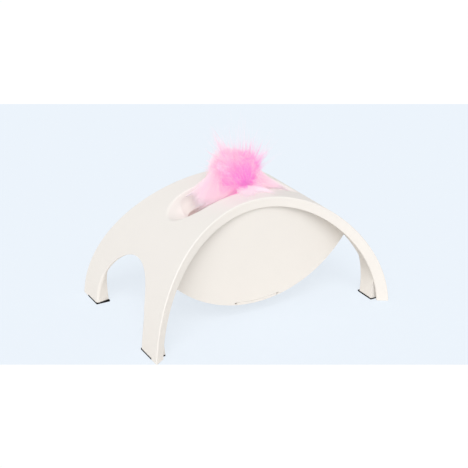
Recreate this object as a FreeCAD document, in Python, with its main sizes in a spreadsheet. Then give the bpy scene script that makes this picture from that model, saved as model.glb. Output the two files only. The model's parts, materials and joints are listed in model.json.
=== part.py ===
import FreeCAD, Part
import math
import os
import re

import Sketcher

# Arch-shaped cat teaser. A white vault stands on four splayed legs and carries a lens-shaped
# housing under its crown. A geared motor swings a feather wand to and fro along a slot on top.
# Millimetres. X runs along the arch, Y across it, Z up. The origin is on the floor at the middle.

Vector = FreeCAD.Vector

SIZES = {
    # how far a cutting shape runs past what it cuts
    "overrun": 1,
    # vault
    "arch_length": 300,
    "arch_height": 141.5,
    "foot_width": 198.5,
    "waist_width": 105.5,
    "skin": 3.2,
    "rim_depth": 11.6,
    "rim_wall": 2.4,
    "rim_floor_gap": 0.4,
    "seam_gap": 0.1,
    # arched opening between the two legs of each end
    "cutout_half_width": 60,
    "cutout_height": 77,
    "cutout_side_radius": 110,
    "cutout_shoulder_radius": 28,
    "cutout_crown_radius": 80,
    # leg blocks and rubber feet
    "leg_depth": 16.7,
    "leg_outer_edge": 86,
    "leg_block_height": 60,
    "leg_block_overlap": 15,
    "leg_wall": 2.6,
    "leg_socket_height": 30,
    "pad_thickness": 2,
    "pad_plug_height": 5,
    "pad_clearance": 0.1,
    # slot that the wand swings in, and the trough under it
    "slot_half_length": 78,
    "slot_half_width": 25,
    "collar_wall": 2.4,
    "trough_depth": 26,
    "trough_floor": 2.4,
    "floor_flange": 7.6,
    "slit_half_length": 56,
    "slit_half_width": 5,
    "floor_boss_x": 12,
    "floor_boss_radius": 3.4,
    "floor_screw_sink": 1,
    "floor_screw_length": 9,
    # lens-shaped housing
    "belly_half_width": 50.1,
    "belly_radius": 145,
    "belly_bottom": 14.8,
    "belly_wall": 2.5,
    "tower_x": 88,
    "tower_y": 38,
    "tower_top": 78,
    "tower_radius": 5.4,
    "tower_bore_radius": 3.6,
    "shell_boss_radius": 4.5,
    "housing_screw_length": 13,
    # battery bay
    "cell_radius": 7.25,
    "cell_length": 50.5,
    "cell_nub_length": 1.3,
    "cell_nub_radius": 2.75,
    "cell_spacing": 1,
    "cell_gap": 0.4,
    "cell_lift": 5.15,
    "contact_length": 3.35,
    "contact_sheet": 0.4,
    "contact_half_width": 6,
    "spring_wide_radius": 5,
    "spring_narrow_radius": 3.4,
    "box_wall": 2,
    "rib_half_thickness": 0.4,
    "rib_depth": 4,
    "door_half_length": 25.9,
    "door_tongue": 2.5,
    "door_rear_lap": 3.55,
    "door_clearance": 0.3,
    "door_lip_height": 3,
    # gear train
    "module": 0.8,
    "wheel_teeth": 36,
    "pinion_teeth": 10,
    "tooth_thinning": 0.1,
    "gear_clearance": 0.8,
    "pressure_angle": 20,
    "tooth_top": 0.9,
    "tooth_root": 1.2,
    "first_layer": 9,
    "layer_pitch": 4.2,
    "wheel_width": 3.2,
    "second_gear_angle": 25,
    "first_gear_angle": 0,
    "motor_angle": 0,
    "pinion_margin": 0.4,
    "layer_lap": 0.2,
    "axial_gap": 0.3,
    "running_clearance": 0.05,
    "gear_pin_radius": 1.25,
    "gear_pin_seat": 1,
    "gear_hub_radius": 2.2,
    "output_hub_radius": 5,
    "gearbox_front": 6,
    "cover_thickness": 2,
    "case_wall": 2,
    "case_back": 2.5,
    "case_inner_depth": 14,
    "case_post_radius": 3,
    "cover_screw_length": 9,
    "cover_screw_margin": 0.5,
    "lug_length": 9,
    "lug_thickness": 2.5,
    "deck_bite": 1.9,
    "post_bite": 4,
    # motor
    "motor_radius": 12,
    "motor_length": 14,
    "motor_cap_length": 2,
    "motor_cap_inset": 1,
    "motor_shaft_radius": 1,
    "motor_shaft_grip": 8,
    "motor_boss_radius": 3,
    "motor_screw_offset": 8.5,
    "motor_screw_head_radius": 2.2,
    "motor_bite": 3,
    "terminal_offset": 5,
    "terminal_half_width": 1,
    "terminal_half_thickness": 0.3,
    "terminal_length": 2.5,
    # wand
    "shaft_radius": 2,
    "hub_radius": 7,
    "hub_half_width": 5,
    "arm_foot_half_width": 5.6,
    "arm_half_width": 4,
    "arm_half_thickness": 3.5,
    "arm_reach": 46,
    "arm_socket_depth": 26,
    "rod_radius": 1.5,
    "root_height": 141.8,
    "root_depth": 3,
    "rest_tilt": 5.5,
    "ferrule_length": 12,
    "ferrule_radius": 3.2,
    "ferrule_taper": 0.8,
    "ferrule_taper_length": 2,
    "quill_radius": 1.3,
    "tuft_neck_radius": 2.6,
    "tuft_radius": 27,
    "tuft_widest": 34,
    "tuft_shoulder_radius": 20,
    "tuft_shoulder": 60,
    "tuft_height": 74,
    "tuft_lean": 6,
    "set_screw_radius": 1.2,
    "set_screw_socket": 1.5,
    # shaft bracket and bushes
    "bracket_front": 14,
    "bracket_thickness": 3,
    "bracket_half_width": 9,
    "bracket_foot": 8,
    "bracket_margin": 4,
    "bush_wall": 1.5,
    "bush_flange": 1,
    "bush_flange_width": 1.2,
    "clip_radius": 3.6,
    "clip_thickness": 0.8,
    # circuit board
    "board_left": 80,
    "board_right": 38,
    "board_half_width": 22,
    "board_height": 46,
    "board_thickness": 1.6,
    "board_post_inset": 4,
    "board_post_radius": 3,
    "board_screw_length": 7,
    "pilot_spare": 0.6,
    "chip_half_length": 4,
    "chip_half_width": 3,
    "chip_height": 1.8,
    "capacitor_radius": 3.2,
    "capacitor_height": 9,
    "capacitor_left": 11,
    "capacitor_front": 10,
    "driver_left": 13,
    "driver_length": 4,
    "driver_height": 5,
    "socket_inset": 3,
    "socket_length": 6,
    "socket_front": 9,
    "socket_rear": 11,
    "socket_height": 4,
    # power switch in the rear wall
    "switch_x": 42,
    "switch_z": 60.5,
    "switch_travel": 4,
    "switch_depth": 6,
    "switch_rim": 4,
    "knob_half_length": 3,
    "knob_half_height": 2,
    "knob_proud": 2.5,
    "knob_root": 3.7,
    "knob_gap": 0.3,
    "groove_pitch": 1.6,
    "groove_half_width": 0.35,
    "groove_depth": 0.5,
    # fasteners and leads
    "screw_radius": 1.4,
    "screw_clearance": 0.2,
    "screw_head_radius": 2.8,
    "screw_head_height": 1.8,
    "lead_radius": 0.6,
}

DERIVED = {
    "half_length": "arch_length / 2",
    "arch_radius": "(half_length^2 + arch_height^2) / (2 * arch_height)",
    "arch_centre": "arch_height - arch_radius",
    "edge_bow": "(foot_width - waist_width) / 2",
    "edge_radius": "(half_length^2 + edge_bow^2) / (2 * edge_bow)",
    "edge_centre": "waist_width / 2 + edge_radius",
    "leg_inner_face": "half_length - leg_depth",
    "floor_boss_y": "slot_half_width + collar_wall + floor_flange / 2",
    "belly_centre": "belly_bottom + belly_radius",
    "belly_floor_radius": "belly_radius - belly_wall",
    "trough_radius": "arch_radius - trough_depth",
    "cell_centre": "belly_bottom + cell_radius + cell_lift",
    "cell_top": "cell_centre + cell_radius + cell_gap",
    "cell_pitch": "2 * cell_radius + cell_spacing",
    "deck": "cell_top + box_wall",
    "bay_half_length": "cell_length / 2 + contact_length + contact_sheet",
    "bay_half_width": "cell_pitch + cell_radius + cell_gap",
    "door_rear": "bay_half_width + door_rear_lap",
    "box_half_length": "bay_half_length + box_wall",
    "box_half_width": "bay_half_width + box_wall",
    "wheel_pitch": "module * wheel_teeth / 2",
    "pinion_pitch": "module * pinion_teeth / 2",
    "wheel_tip": "wheel_pitch + module",
    "pinion_tip": "pinion_pitch + module",
    "centre_distance": "wheel_pitch + pinion_pitch",
    "pivot_height": "deck + case_wall + gear_clearance + wheel_tip",
    "second_x": "centre_distance * cos(second_gear_angle)",
    "second_z": "pivot_height + centre_distance * sin(second_gear_angle)",
    "first_x": "second_x + centre_distance * cos(first_gear_angle)",
    "first_z": "second_z + centre_distance * sin(first_gear_angle)",
    "motor_x": "first_x + centre_distance * cos(motor_angle)",
    "motor_z": "first_z + centre_distance * sin(motor_angle)",
    "case_front": "gearbox_front + cover_thickness",
    "case_rear_inner": "case_front + case_inner_depth",
    "case_rear": "case_rear_inner + case_back",
    "case_left": "-(wheel_tip + gear_clearance + case_wall)",
    "case_right": "motor_x + pinion_tip + gear_clearance + case_wall",
    "case_top": "second_z + wheel_tip + gear_clearance + case_wall",
    "second_layer": "first_layer + layer_pitch",
    "third_layer": "second_layer + layer_pitch",
    "motor_rear": "case_rear + motor_length",
    "terminal_foot": "motor_rear + motor_cap_length",
    "terminal_end": "terminal_foot + terminal_length",
    "bore_radius": "shaft_radius + running_clearance",
    "bush_radius": "bore_radius + bush_wall",
    "bracket_rear": "bracket_front + bracket_thickness",
    "shaft_front_end": "bracket_rear + bush_flange + 3 * clip_thickness",
    "shaft_rear_end": "case_rear + bush_flange + 3 * clip_thickness",
    "wand_radius": "(root_height - pivot_height) / cos(rest_tilt)",
    "ferrule_top": "wand_radius - root_depth",
    "ferrule_bottom": "ferrule_top - ferrule_length",
    "tuft_dome": "tuft_height - tuft_shoulder",
    "tuft_dome_radius": "(tuft_shoulder_radius^2 + tuft_dome^2) / (2 * tuft_dome)",
    "board_top": "board_height + board_thickness",
    "opening_half_length": "knob_half_length + switch_travel / 2 + knob_gap",
    "opening_half_height": "knob_half_height + knob_gap",
}

WORD = re.compile(r"[a-z]+(?:_[a-z]+)*")

document = FreeCAD.newDocument("ArchFeatherTeaser")
sheet = document.addObject("Spreadsheet::Sheet", "Sizes")
parts = []


def fill_sheet():
    """One row for each driving dimension: its name, then its value under that name."""
    for row, (name, number) in enumerate(SIZES.items(), start=1):
        sheet.set(f"A{row}", name)
        sheet.set(f"B{row}", str(number))
        sheet.setAlias(f"B{row}", name)
    document.recompute()


def formula(text):
    """Spell each size word as its cell, and each derived word as its own formula."""
    def spell(found):
        word = found.group()
        if word in DERIVED:
            return "(" + formula(DERIVED[word]) + ")"
        return "Sizes." + word if word in SIZES else word
    return WORD.sub(spell, text)


def value(text):
    """The number that a formula gives with the sheet's present sizes."""
    return float(sheet.evalExpression(formula(text)))


def bind(item, settings):
    """Tie properties of an object to formulas."""
    for path, text in settings.items():
        item.setExpression(path, formula(text))
    return item


def part(label, item):
    """Name a finished sub-part. The label also names its file."""
    item.Label = label
    parts.append(item)
    return item


def along(sign, near, far):
    """Two formulas in rising order, for a stretch on the positive or the negative side."""
    return (near, far) if sign > 0 else (f"-({far})", f"-({near})")


def box(name, x_span, y_span, z_span):
    """Block between two formulas along each axis."""
    item = document.addObject("Part::Box", name)
    spans = dict(zip("xyz", (x_span, y_span, z_span)))
    for side, axis in (("Length", "x"), ("Width", "y"), ("Height", "z")):
        near, far = spans[axis]
        bind(item, {side: f"({far}) - ({near})", f"Placement.Base.{axis}": near})
    return item


TURNS = {
    "x": FreeCAD.Rotation(Vector(0, 1, 0), 90),
    "y": FreeCAD.Rotation(Vector(1, 0, 0), -90),
    "z": FreeCAD.Rotation(),
}


def place(item, axis, start):
    """Stand a turned primitive on its start point, pointing along an axis."""
    item.Placement = FreeCAD.Placement(Vector(), TURNS[axis])
    return bind(item, {f"Placement.Base.{letter}": text for letter, text in zip("xyz", start)})


def rod(name, axis, radius, start, length):
    """Round bar along an axis."""
    item = document.addObject("Part::Cylinder", name)
    bind(item, {"Radius": radius, "Height": length})
    return place(item, axis, start)


def cone(name, axis, near_radius, far_radius, start, length):
    """Tapered round bar along an axis."""
    item = document.addObject("Part::Cone", name)
    bind(item, {"Radius1": near_radius, "Radius2": far_radius, "Height": length})
    return place(item, axis, start)


def join(name, *pieces):
    """Fuse pieces, or gather them where they lie apart."""
    item = document.addObject("Part::MultiFuse", name)
    item.Shapes = list(pieces)
    return item


def common(name, *pieces):
    """What all the pieces share."""
    item = document.addObject("Part::MultiCommon", name)
    item.Shapes = list(pieces)
    return item


def cut(name, base, *tools):
    """Base with the tools taken away."""
    item = document.addObject("Part::Cut", name)
    item.Base = base
    item.Tool = tools[0] if len(tools) == 1 else join(name + "_tools", *tools)
    item.Refine = True
    return item


def sketch_on(body, role, name):
    """Empty sketch on one of the body's own origin planes."""
    plane = next(item for item in body.Origin.OriginFeatures if item.Role == role)
    sketch = body.newObject("Sketcher::SketchObject", name)
    sketch.AttachmentSupport = [(plane, "")]
    sketch.MapMode = "FlatFace"
    return sketch


def hold(sketch, kind, first, point, text):
    """Hold a point of a sketch at a formula's distance from the sketch's origin."""
    number = sketch.addConstraint(Sketcher.Constraint(kind, -1, 1, first, point, value(text)))
    sketch.setExpression(f"Constraints[{number}]", formula(text))


def hold_radius(sketch, edge, text):
    """Hold an arc's or a circle's radius at a formula."""
    number = sketch.addConstraint(Sketcher.Constraint("Radius", edge, value(text)))
    sketch.setExpression(f"Constraints[{number}]", formula(text))


def polygon(sketch, corners):
    """Closed outline of straight edges, each corner held at two formulas."""
    points = [Vector(value(across), value(up), 0) for across, up in corners]
    count = len(points)
    for index in range(count):
        sketch.addGeometry(Part.LineSegment(points[index], points[(index + 1) % count]), False)
    for index in range(count):
        sketch.addConstraint(Sketcher.Constraint("Coincident", index, 2, (index + 1) % count, 1))
    for index, (across, up) in enumerate(corners):
        hold(sketch, "DistanceX", index, 1, across)
        hold(sketch, "DistanceY", index, 1, up)


def circle(sketch, centre, radius):
    """Round outline about a centre held at two formulas."""
    middle = Vector(value(centre[0]), value(centre[1]), 0)
    edge = sketch.addGeometry(Part.Circle(middle, Vector(0, 0, 1), value(radius)), False)
    hold(sketch, "DistanceX", edge, 3, centre[0])
    hold(sketch, "DistanceY", edge, 3, centre[1])
    hold_radius(sketch, edge, radius)


def pad(body, sketch, length, midplane=True, name="Pad"):
    """Grow a sketch into the body, to both sides of its plane unless told otherwise."""
    feature = body.newObject("PartDesign::Pad", name)
    feature.Profile = sketch
    feature.Midplane = midplane
    return bind(feature, {"Length": length})


def pocket(body, sketch, name="Pocket"):
    """Cut a sketch right through the body, to both sides of its plane."""
    feature = body.newObject("PartDesign::Pocket", name)
    feature.Profile = sketch
    feature.Type = "ThroughAll"
    feature.Midplane = True
    return feature


def revolve(body, sketch, name="Revolution"):
    """Turn a sketch a full circle about its own upright axis."""
    feature = body.newObject("PartDesign::Revolution", name)
    feature.Profile = sketch
    feature.ReferenceAxis = (sketch, ["V_Axis"])
    feature.Angle = 360
    return feature


def on_wand(item):
    """Carry a piece drawn about the pivot to where the wand stands at rest."""
    item.Placement = FreeCAD.Placement(Vector(), FreeCAD.Rotation(Vector(0, 1, 0), 1))
    return bind(item, {"Placement.Base.z": "pivot_height", "Placement.Rotation.Angle": "rest_tilt"})


def vault_disc(name, radius):
    """Everything under an arc about the vault's centre, down to the floor."""
    width = ("-foot_width / 2", "foot_width / 2")
    disc = rod(name + "_disc", "y", radius, ("0", width[0], "arch_centre"), "foot_width")
    above = box(name + "_above", ("-half_length - overrun", "half_length + overrun"), width,
                ("0", "arch_height + overrun"))
    return common(name, disc, above)


def vault_layer(name, outer, inner):
    """Curved layer between two arcs about the vault's centre."""
    return cut(name, vault_disc(name + "_outer", outer), vault_disc(name + "_inner", inner))


def plan_prism(name, inset):
    """Upright prism with the vault's waisted outline, drawn in by an inset."""
    block = box(name + "_block", ("-half_length - overrun", "half_length + overrun"),
                ("-foot_width / 2", "foot_width / 2"), ("0", "arch_height + overrun"))
    scoops = [rod(f"{name}_scoop_{side}", "z", f"edge_radius + {inset}",
                  ("0", f"{sign} * edge_centre", "-overrun"), "arch_height + 3 * overrun")
              for side, sign in (("front", -1), ("rear", 1))]
    return cut(name, block, *scoops)


def stadium(name, half_length, half_width, z_span):
    """Upright slot shape with round ends, long along X."""
    low, high = z_span
    middle = box(name + "_middle", (f"-({half_length}) + ({half_width})",
                 f"({half_length}) - ({half_width})"), (f"-({half_width})", half_width), z_span)
    ends = [rod(f"{name}_end_{side}", "z", half_width,
                (f"{sign} * (({half_length}) - ({half_width}))", "0", low), f"({high}) - ({low})")
            for side, sign in (("left", -1), ("right", 1))]
    return join(name, middle, *ends)


def circles_meet(first, first_radius, second, second_radius):
    """The meeting point of two circles that lies to the right of the line between them."""
    gap = second - first
    reach = (gap.Length ** 2 + first_radius ** 2 - second_radius ** 2) / (2 * gap.Length)
    offset = math.sqrt(first_radius ** 2 - reach ** 2)
    forward = gap / gap.Length
    return first + forward * reach + Vector(forward.y, -forward.x, 0) * offset


def cutout_half():
    """Half of the opening's outline, as three arcs that run smoothly into each other."""
    side, shoulder, crown = (value(f"cutout_{arc}_radius") for arc in ("side", "shoulder", "crown"))
    foot = Vector(value("cutout_half_width"), 0, 0)
    top = Vector(0, value("cutout_height"), 0)
    side_centre = foot - Vector(side, 0, 0)
    crown_centre = top - Vector(0, crown, 0)
    shoulder_centre = circles_meet(crown_centre, crown - shoulder, side_centre, side - shoulder)
    low = shoulder_centre + (shoulder_centre - side_centre).normalize() * shoulder
    high = shoulder_centre + (shoulder_centre - crown_centre).normalize() * shoulder
    body = document.addObject("PartDesign::Body", "CutoutHalf")
    sketch = sketch_on(body, "YZ_Plane", "CutoutOutline")
    arcs = ((side_centre, side, foot, low), (shoulder_centre, shoulder, low, high),
            (crown_centre, crown, high, top))
    up = Vector(0, 0, 1)
    for centre, radius, start, end in arcs:
        angles = [math.atan2(point.y - centre.y, point.x - centre.x) for point in (start, end)]
        sketch.addGeometry(Part.ArcOfCircle(Part.Circle(centre, up, radius), *angles), False)
    sketch.addGeometry(Part.LineSegment(top, Vector()), False)
    sketch.addGeometry(Part.LineSegment(Vector(), foot), False)
    for first, second in ((0, 1), (1, 2)):
        sketch.addConstraint(Sketcher.Constraint("Tangent", first, 2, second, 1))
    for first, second in ((2, 3), (3, 4), (4, 0)):
        sketch.addConstraint(Sketcher.Constraint("Coincident", first, 2, second, 1))
    sketch.addConstraint(Sketcher.Constraint("Coincident", 3, 2, -1, 1))
    sketch.addConstraint(Sketcher.Constraint("PointOnObject", 0, 3, -1))
    sketch.addConstraint(Sketcher.Constraint("PointOnObject", 0, 1, -1))
    sketch.addConstraint(Sketcher.Constraint("PointOnObject", 2, 3, -2))
    sketch.addConstraint(Sketcher.Constraint("PointOnObject", 2, 2, -2))
    for edge, name in enumerate(("side", "shoulder", "crown")):
        hold_radius(sketch, edge, f"cutout_{name}_radius")
    hold(sketch, "DistanceX", 0, 1, "cutout_half_width")
    hold(sketch, "DistanceY", 2, 2, "cutout_height")
    pad(body, sketch, "2 * arch_length", name="CutoutPad")
    return body


def end_cutout():
    """Arched tunnel shape that opens both ends of the vault."""
    half = cutout_half()
    mirror = document.addObject("Part::Mirroring", "CutoutMirror")
    mirror.Source = half
    mirror.Normal = Vector(0, 1, 0)
    return join("EndCutout", half, mirror)


CORNERS = [(end, side, x_sign, y_sign)
           for side, y_sign in (("front", -1), ("rear", 1))
           for end, x_sign in (("left", -1), ("right", 1))]


def leg_blocks():
    """Thick block behind the skin of each leg, up to where it thins out."""
    blocks = [box(f"LegBlock_{side}_{end}", along(x_sign, "leg_inner_face", "half_length + overrun"),
                  along(y_sign, "cutout_half_width - leg_block_overlap", "leg_outer_edge"),
                  ("pad_thickness", "leg_block_height"))
              for end, side, x_sign, y_sign in CORNERS]
    return common("LegBlocks", join("LegBlockSet", *blocks), vault_disc("LegLimit", "arch_radius"))


def leg_sockets():
    """Hollow inside each leg block, open to the pad below."""
    sockets = [box(f"LegSocket_{side}_{end}",
                   along(x_sign, "leg_inner_face + leg_wall", "half_length"),
                   along(y_sign, "cutout_half_width + leg_wall", "leg_outer_edge - leg_wall"),
                   ("-overrun", "leg_socket_height"))
               for end, side, x_sign, y_sign in CORNERS]
    return common("LegSockets", join("LegSocketSet", *sockets),
                  vault_disc("SocketLimit", "arch_radius - skin"))


def pad_seats():
    """Room under each leg block for its rubber pad."""
    seats = [box(f"PadSeat_{side}_{end}",
                 along(x_sign, "leg_inner_face - overrun", "half_length + overrun"),
                 along(y_sign, "cutout_half_width - leg_block_overlap", "leg_outer_edge + pad_clearance"),
                 ("-overrun", "pad_thickness"))
             for end, side, x_sign, y_sign in CORNERS]
    return join("PadSeats", *seats)


def shell_bosses():
    """Bosses under the vault that take the housing's and the trough floor's screws."""
    towers = [rod(f"ShellBoss_{side}_{end}", "z", "shell_boss_radius",
                  (f"{x_sign} * tower_x", f"{y_sign} * tower_y", "tower_top"), "arch_height")
              for end, side, x_sign, y_sign in CORNERS]
    bosses = [rod(f"FloorBoss_{side}_{end}", "z", "floor_boss_radius",
                  (f"{x_sign} * floor_boss_x", f"{y_sign} * floor_boss_y", "arch_height / 2"),
                  "arch_height / 2") for end, side, x_sign, y_sign in CORNERS]
    floors = common("FloorBosses", join("FloorBossSet", *bosses),
                    vault_layer("FloorBossReach", "arch_radius - skin / 2", "trough_radius"))
    return join("ShellBosses", floors, common("TowerBosses", join("TowerBossSet", *towers),
                vault_disc("TowerBossReach", "arch_radius - skin / 2")))


UNDER_PLATE = "arch_centre + trough_radius - trough_floor - floor_screw_sink"


def shell_pilots():
    """Screw holes in the bosses under the vault."""
    towers = [rod(f"TowerPilot_{side}_{end}", "z", "screw_radius",
                  (f"{x_sign} * tower_x", f"{y_sign} * tower_y", "tower_top - overrun"),
                  "housing_screw_length")
              for end, side, x_sign, y_sign in CORNERS]
    floors = [rod(f"FloorPilot_{side}_{end}", "z", "screw_radius",
                  (f"{x_sign} * floor_boss_x", f"{y_sign} * floor_boss_y",
                   UNDER_PLATE), "floor_screw_length + 2 * overrun")
              for end, side, x_sign, y_sign in CORNERS]
    return join("ShellPilots", *towers, *floors)


def make_arch_shell():
    """Vault with its edge rims, legs, slot collar and bosses, as one moulding."""
    band = common("RimBand", vault_layer("RimLayer", "arch_radius", "arch_radius - rim_depth"),
                  plan_prism("VaultPlan", "0"))
    hollow = common("RimHollow",
                    vault_layer("HollowLayer", "arch_radius - skin", "arch_radius - rim_depth - overrun"),
                    plan_prism("HollowPlan", "rim_wall"))
    collar = common("SlotCollar",
                    stadium("CollarOutline", "slot_half_length + collar_wall",
                            "slot_half_width + collar_wall", ("0", "arch_height")),
                    vault_layer("CollarReach", "arch_radius - skin / 2", "trough_radius"))
    whole = join("ShellSolids", cut("VaultSkin", band, hollow), leg_blocks(), collar, shell_bosses())
    slot = stadium("SlotOpening", "slot_half_length", "slot_half_width",
                   ("arch_height / 2", "arch_height + overrun"))
    under = box("RimFloorGap", ("-half_length - overrun", "half_length + overrun"),
                ("-foot_width", "foot_width"), ("-overrun", "rim_floor_gap"))
    part("arch_shell", cut("ArchShell", whole, end_cutout(), slot, leg_sockets(), pad_seats(),
                           shell_pilots(), under))


def make_foot_pads():
    """Rubber pad under each leg block, with a plug that fills the block's hollow."""
    for end, side, x_sign, y_sign in CORNERS:
        name = f"FootPad_{side}_{end}"
        sole = box(name + "_sole", along(x_sign, "leg_inner_face", "half_length + overrun"),
                   along(y_sign, "cutout_half_width - leg_block_overlap", "leg_outer_edge"),
                   ("0", "pad_thickness"))
        curved = common(name + "_arc", sole, vault_disc(name + "_reach", "arch_radius"))
        inner = box(name + "_inner", ("-half_length - overrun", "half_length + overrun"),
                    ("-cutout_half_width", "cutout_half_width"), ("-overrun", "pad_thickness + overrun"))
        plug = box(name + "_plug",
                   along(x_sign, "leg_inner_face + leg_wall + pad_clearance", "half_length"),
                   along(y_sign, "cutout_half_width + leg_wall + pad_clearance",
                         "leg_outer_edge - leg_wall - pad_clearance"),
                   ("pad_thickness / 2", "pad_thickness + pad_plug_height"))
        fitted = common(name + "_plug_arc", plug,
                        vault_disc(name + "_plug_reach", "arch_radius - skin - pad_clearance"))
        part(f"foot_pad_{side}_{end}", join(name, cut(name + "_trim", curved, inner), fitted))


def make_trough_floor():
    """Curved floor of the trough, slit along its middle for the wand."""
    plate = common("FloorPlate",
                   stadium("FloorOutline", "slot_half_length + collar_wall + floor_flange",
                           "slot_half_width + collar_wall + floor_flange", ("0", "arch_height")),
                   vault_layer("FloorLayer", "trough_radius - seam_gap",
                               "trough_radius - trough_floor"))
    slit = stadium("WandSlit", "slit_half_length", "slit_half_width", ("0", "arch_height"))
    holes = [rod(f"FloorHole_{side}_{end}", "z", "screw_radius + screw_clearance",
                 (f"{x_sign} * floor_boss_x", f"{y_sign} * floor_boss_y", "arch_height / 2"),
                 "arch_height / 2") for end, side, x_sign, y_sign in CORNERS]
    part("trough_floor", cut("TroughFloor", plate, slit, *holes))


def belly_disc(name, radius, y_span):
    """Round disc about the centre of the housing's bottom arc."""
    near, far = y_span
    return rod(name, "y", radius, ("0", near, "belly_centre"), f"({far}) - ({near})")


BELLY_SPAN = ("-belly_half_width", "belly_half_width")


def belly_lens(name):
    """Lens between the housing's bottom arc and the underside of the vault."""
    under_vault = rod(name + "_vault", "y", "arch_radius - skin - seam_gap",
                      ("0", BELLY_SPAN[0], "arch_centre"), "2 * belly_half_width")
    return common(name, belly_disc(name + "_bottom", "belly_radius", BELLY_SPAN), under_vault)


def board_posts():
    """Where the circuit board's four posts stand."""
    return [(f"{side}_{end}", x_text, f"{sign} * (board_half_width - board_post_inset)")
            for end, x_text in (("left", "-board_left + board_post_inset"),
                                ("right", "-board_right - board_post_inset"))
            for side, sign in (("front", -1), ("rear", 1))]


LUG_Y = "(case_front + case_rear) / 2"
LEFT_LUG_X = "-box_half_length + screw_head_radius"
RIGHT_LUG_X = "case_right + lug_length / 2"
BRACKET_SCREW_Y = "-bracket_rear - bracket_foot / 2"


def belly_posts():
    """Screw towers and posts that rise from the housing's bottom."""
    towers = [rod(f"Tower_{side}_{end}", "z", "tower_radius",
                  (f"{x_sign} * tower_x", f"{y_sign} * tower_y", "0"), "tower_top")
              for end, side, x_sign, y_sign in CORNERS]
    posts = [rod(f"BoardPost_{name}", "z", "board_post_radius", (x_text, y_text, "0"), "board_height")
             for name, x_text, y_text in board_posts()]
    gearbox_post = rod("GearboxPost", "z", "lug_length / 2", (RIGHT_LUG_X, LUG_Y, "0"), "deck")
    return common("BellyPosts", join("BellyPostSet", *towers, *posts, gearbox_post),
                  belly_lens("PostLimit"))


def belly_holes():
    """Bores in the towers and posts."""
    bores = [rod(f"TowerBore_{side}_{end}", "z", "tower_bore_radius",
                 (f"{x_sign} * tower_x", f"{y_sign} * tower_y", "0"), "tower_top - belly_wall")
             for end, side, x_sign, y_sign in CORNERS]
    shanks = [rod(f"TowerHole_{side}_{end}", "z", "screw_radius + screw_clearance",
                  (f"{x_sign} * tower_x", f"{y_sign} * tower_y", "tower_top / 2"),
                  "tower_top / 2 + overrun") for end, side, x_sign, y_sign in CORNERS]
    pilots = [rod(f"BoardPilot_{name}", "z", "screw_radius",
                  (x_text, y_text, "board_top - board_screw_length - pilot_spare"), "board_screw_length")
              for name, x_text, y_text in board_posts()]
    gearbox_pilot = rod("GearboxPilot", "z", "screw_radius", (RIGHT_LUG_X, LUG_Y, "deck - post_bite"),
                        "post_bite + overrun")
    return bores + shanks + pilots + [gearbox_pilot]


def belly_layer(name, outer, inner, half_length, y_span):
    """Curved layer between two arcs about the housing's centre, over a stretch along X and Y."""
    near, far = y_span
    layer = cut(name + "_layer", belly_disc(name + "_outer", outer, y_span),
                belly_disc(name + "_inner", inner, (f"({near}) - overrun", f"({far}) + overrun")))
    limit = box(name + "_limit", (f"-({half_length})", half_length), y_span, ("0", "belly_centre"))
    return common(name, layer, limit)


def door_openings():
    """Battery opening with its side rebates, and the notch that the door's lip fills."""
    span = ("-belly_half_width - overrun", "door_rear + door_clearance")
    opening = belly_layer("BatteryOpening", "belly_radius + overrun",
                          "belly_radius - door_lip_height - door_clearance",
                          "door_half_length + door_clearance", span)
    rebate = belly_layer("DoorRebate", "belly_radius - belly_wall / 2 + seam_gap",
                         "belly_floor_radius - 2 * seam_gap",
                         "door_half_length + door_tongue + door_clearance", span)
    return [opening, rebate]


def switch_window(name, y_span):
    """Window that the switch's knob travels in."""
    return box(name, ("-switch_x + switch_travel / 2 - opening_half_length",
                      "-switch_x + switch_travel / 2 + opening_half_length"), y_span,
               ("switch_z - opening_half_height", "switch_z + opening_half_height"))


def make_belly_housing():
    """Lens-shaped lower housing, open to the vault above it."""
    cavity = belly_disc("BellyCavity", "belly_floor_radius",
                        ("-belly_half_width + belly_wall", "belly_half_width - belly_wall"))
    tub = cut("BellyTub", belly_lens("BellyLens"), cavity)
    whole = join("BellySolids", tub, belly_posts())
    window = switch_window("SwitchOpening", ("belly_half_width / 2", "belly_half_width + overrun"))
    part("belly_housing", cut("BellyHousing", whole, window, *belly_holes(), *door_openings()))


def screw(name, axis, sign, place_text, shank, head_radius="screw_head_radius"):
    """Screw whose head's underside is at a place, with its shank along the signed axis."""
    index = "xyz".index(axis)
    ends = []
    for length in ("screw_head_height", shank):
        start = list(place_text)
        back = sign < 0 if length == shank else sign > 0
        if back:
            start[index] = f"({place_text[index]}) - ({length})"
        ends.append(start)
    head = rod(name + "_head", axis, head_radius, ends[0], "screw_head_height")
    body = rod(name + "_shank", axis, "screw_radius", ends[1], shank)
    return join(name, head, body)


def make_shell_screws():
    """Screws up the towers into the vault, and screws that hold the trough's floor."""
    towers = [screw(f"HousingScrew_{side}_{end}", "z", 1,
                    (f"{x_sign} * tower_x", f"{y_sign} * tower_y", "tower_top - belly_wall"),
                    "housing_screw_length") for end, side, x_sign, y_sign in CORNERS]
    part("housing_screws", join("HousingScrews", *towers))
    floors = [screw(f"FloorScrew_{side}_{end}", "z", 1,
                    (f"{x_sign} * floor_boss_x", f"{y_sign} * floor_boss_y", UNDER_PLATE),
                    "floor_screw_length") for end, side, x_sign, y_sign in CORNERS]
    part("trough_screws", join("TroughScrews", *floors))


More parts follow.
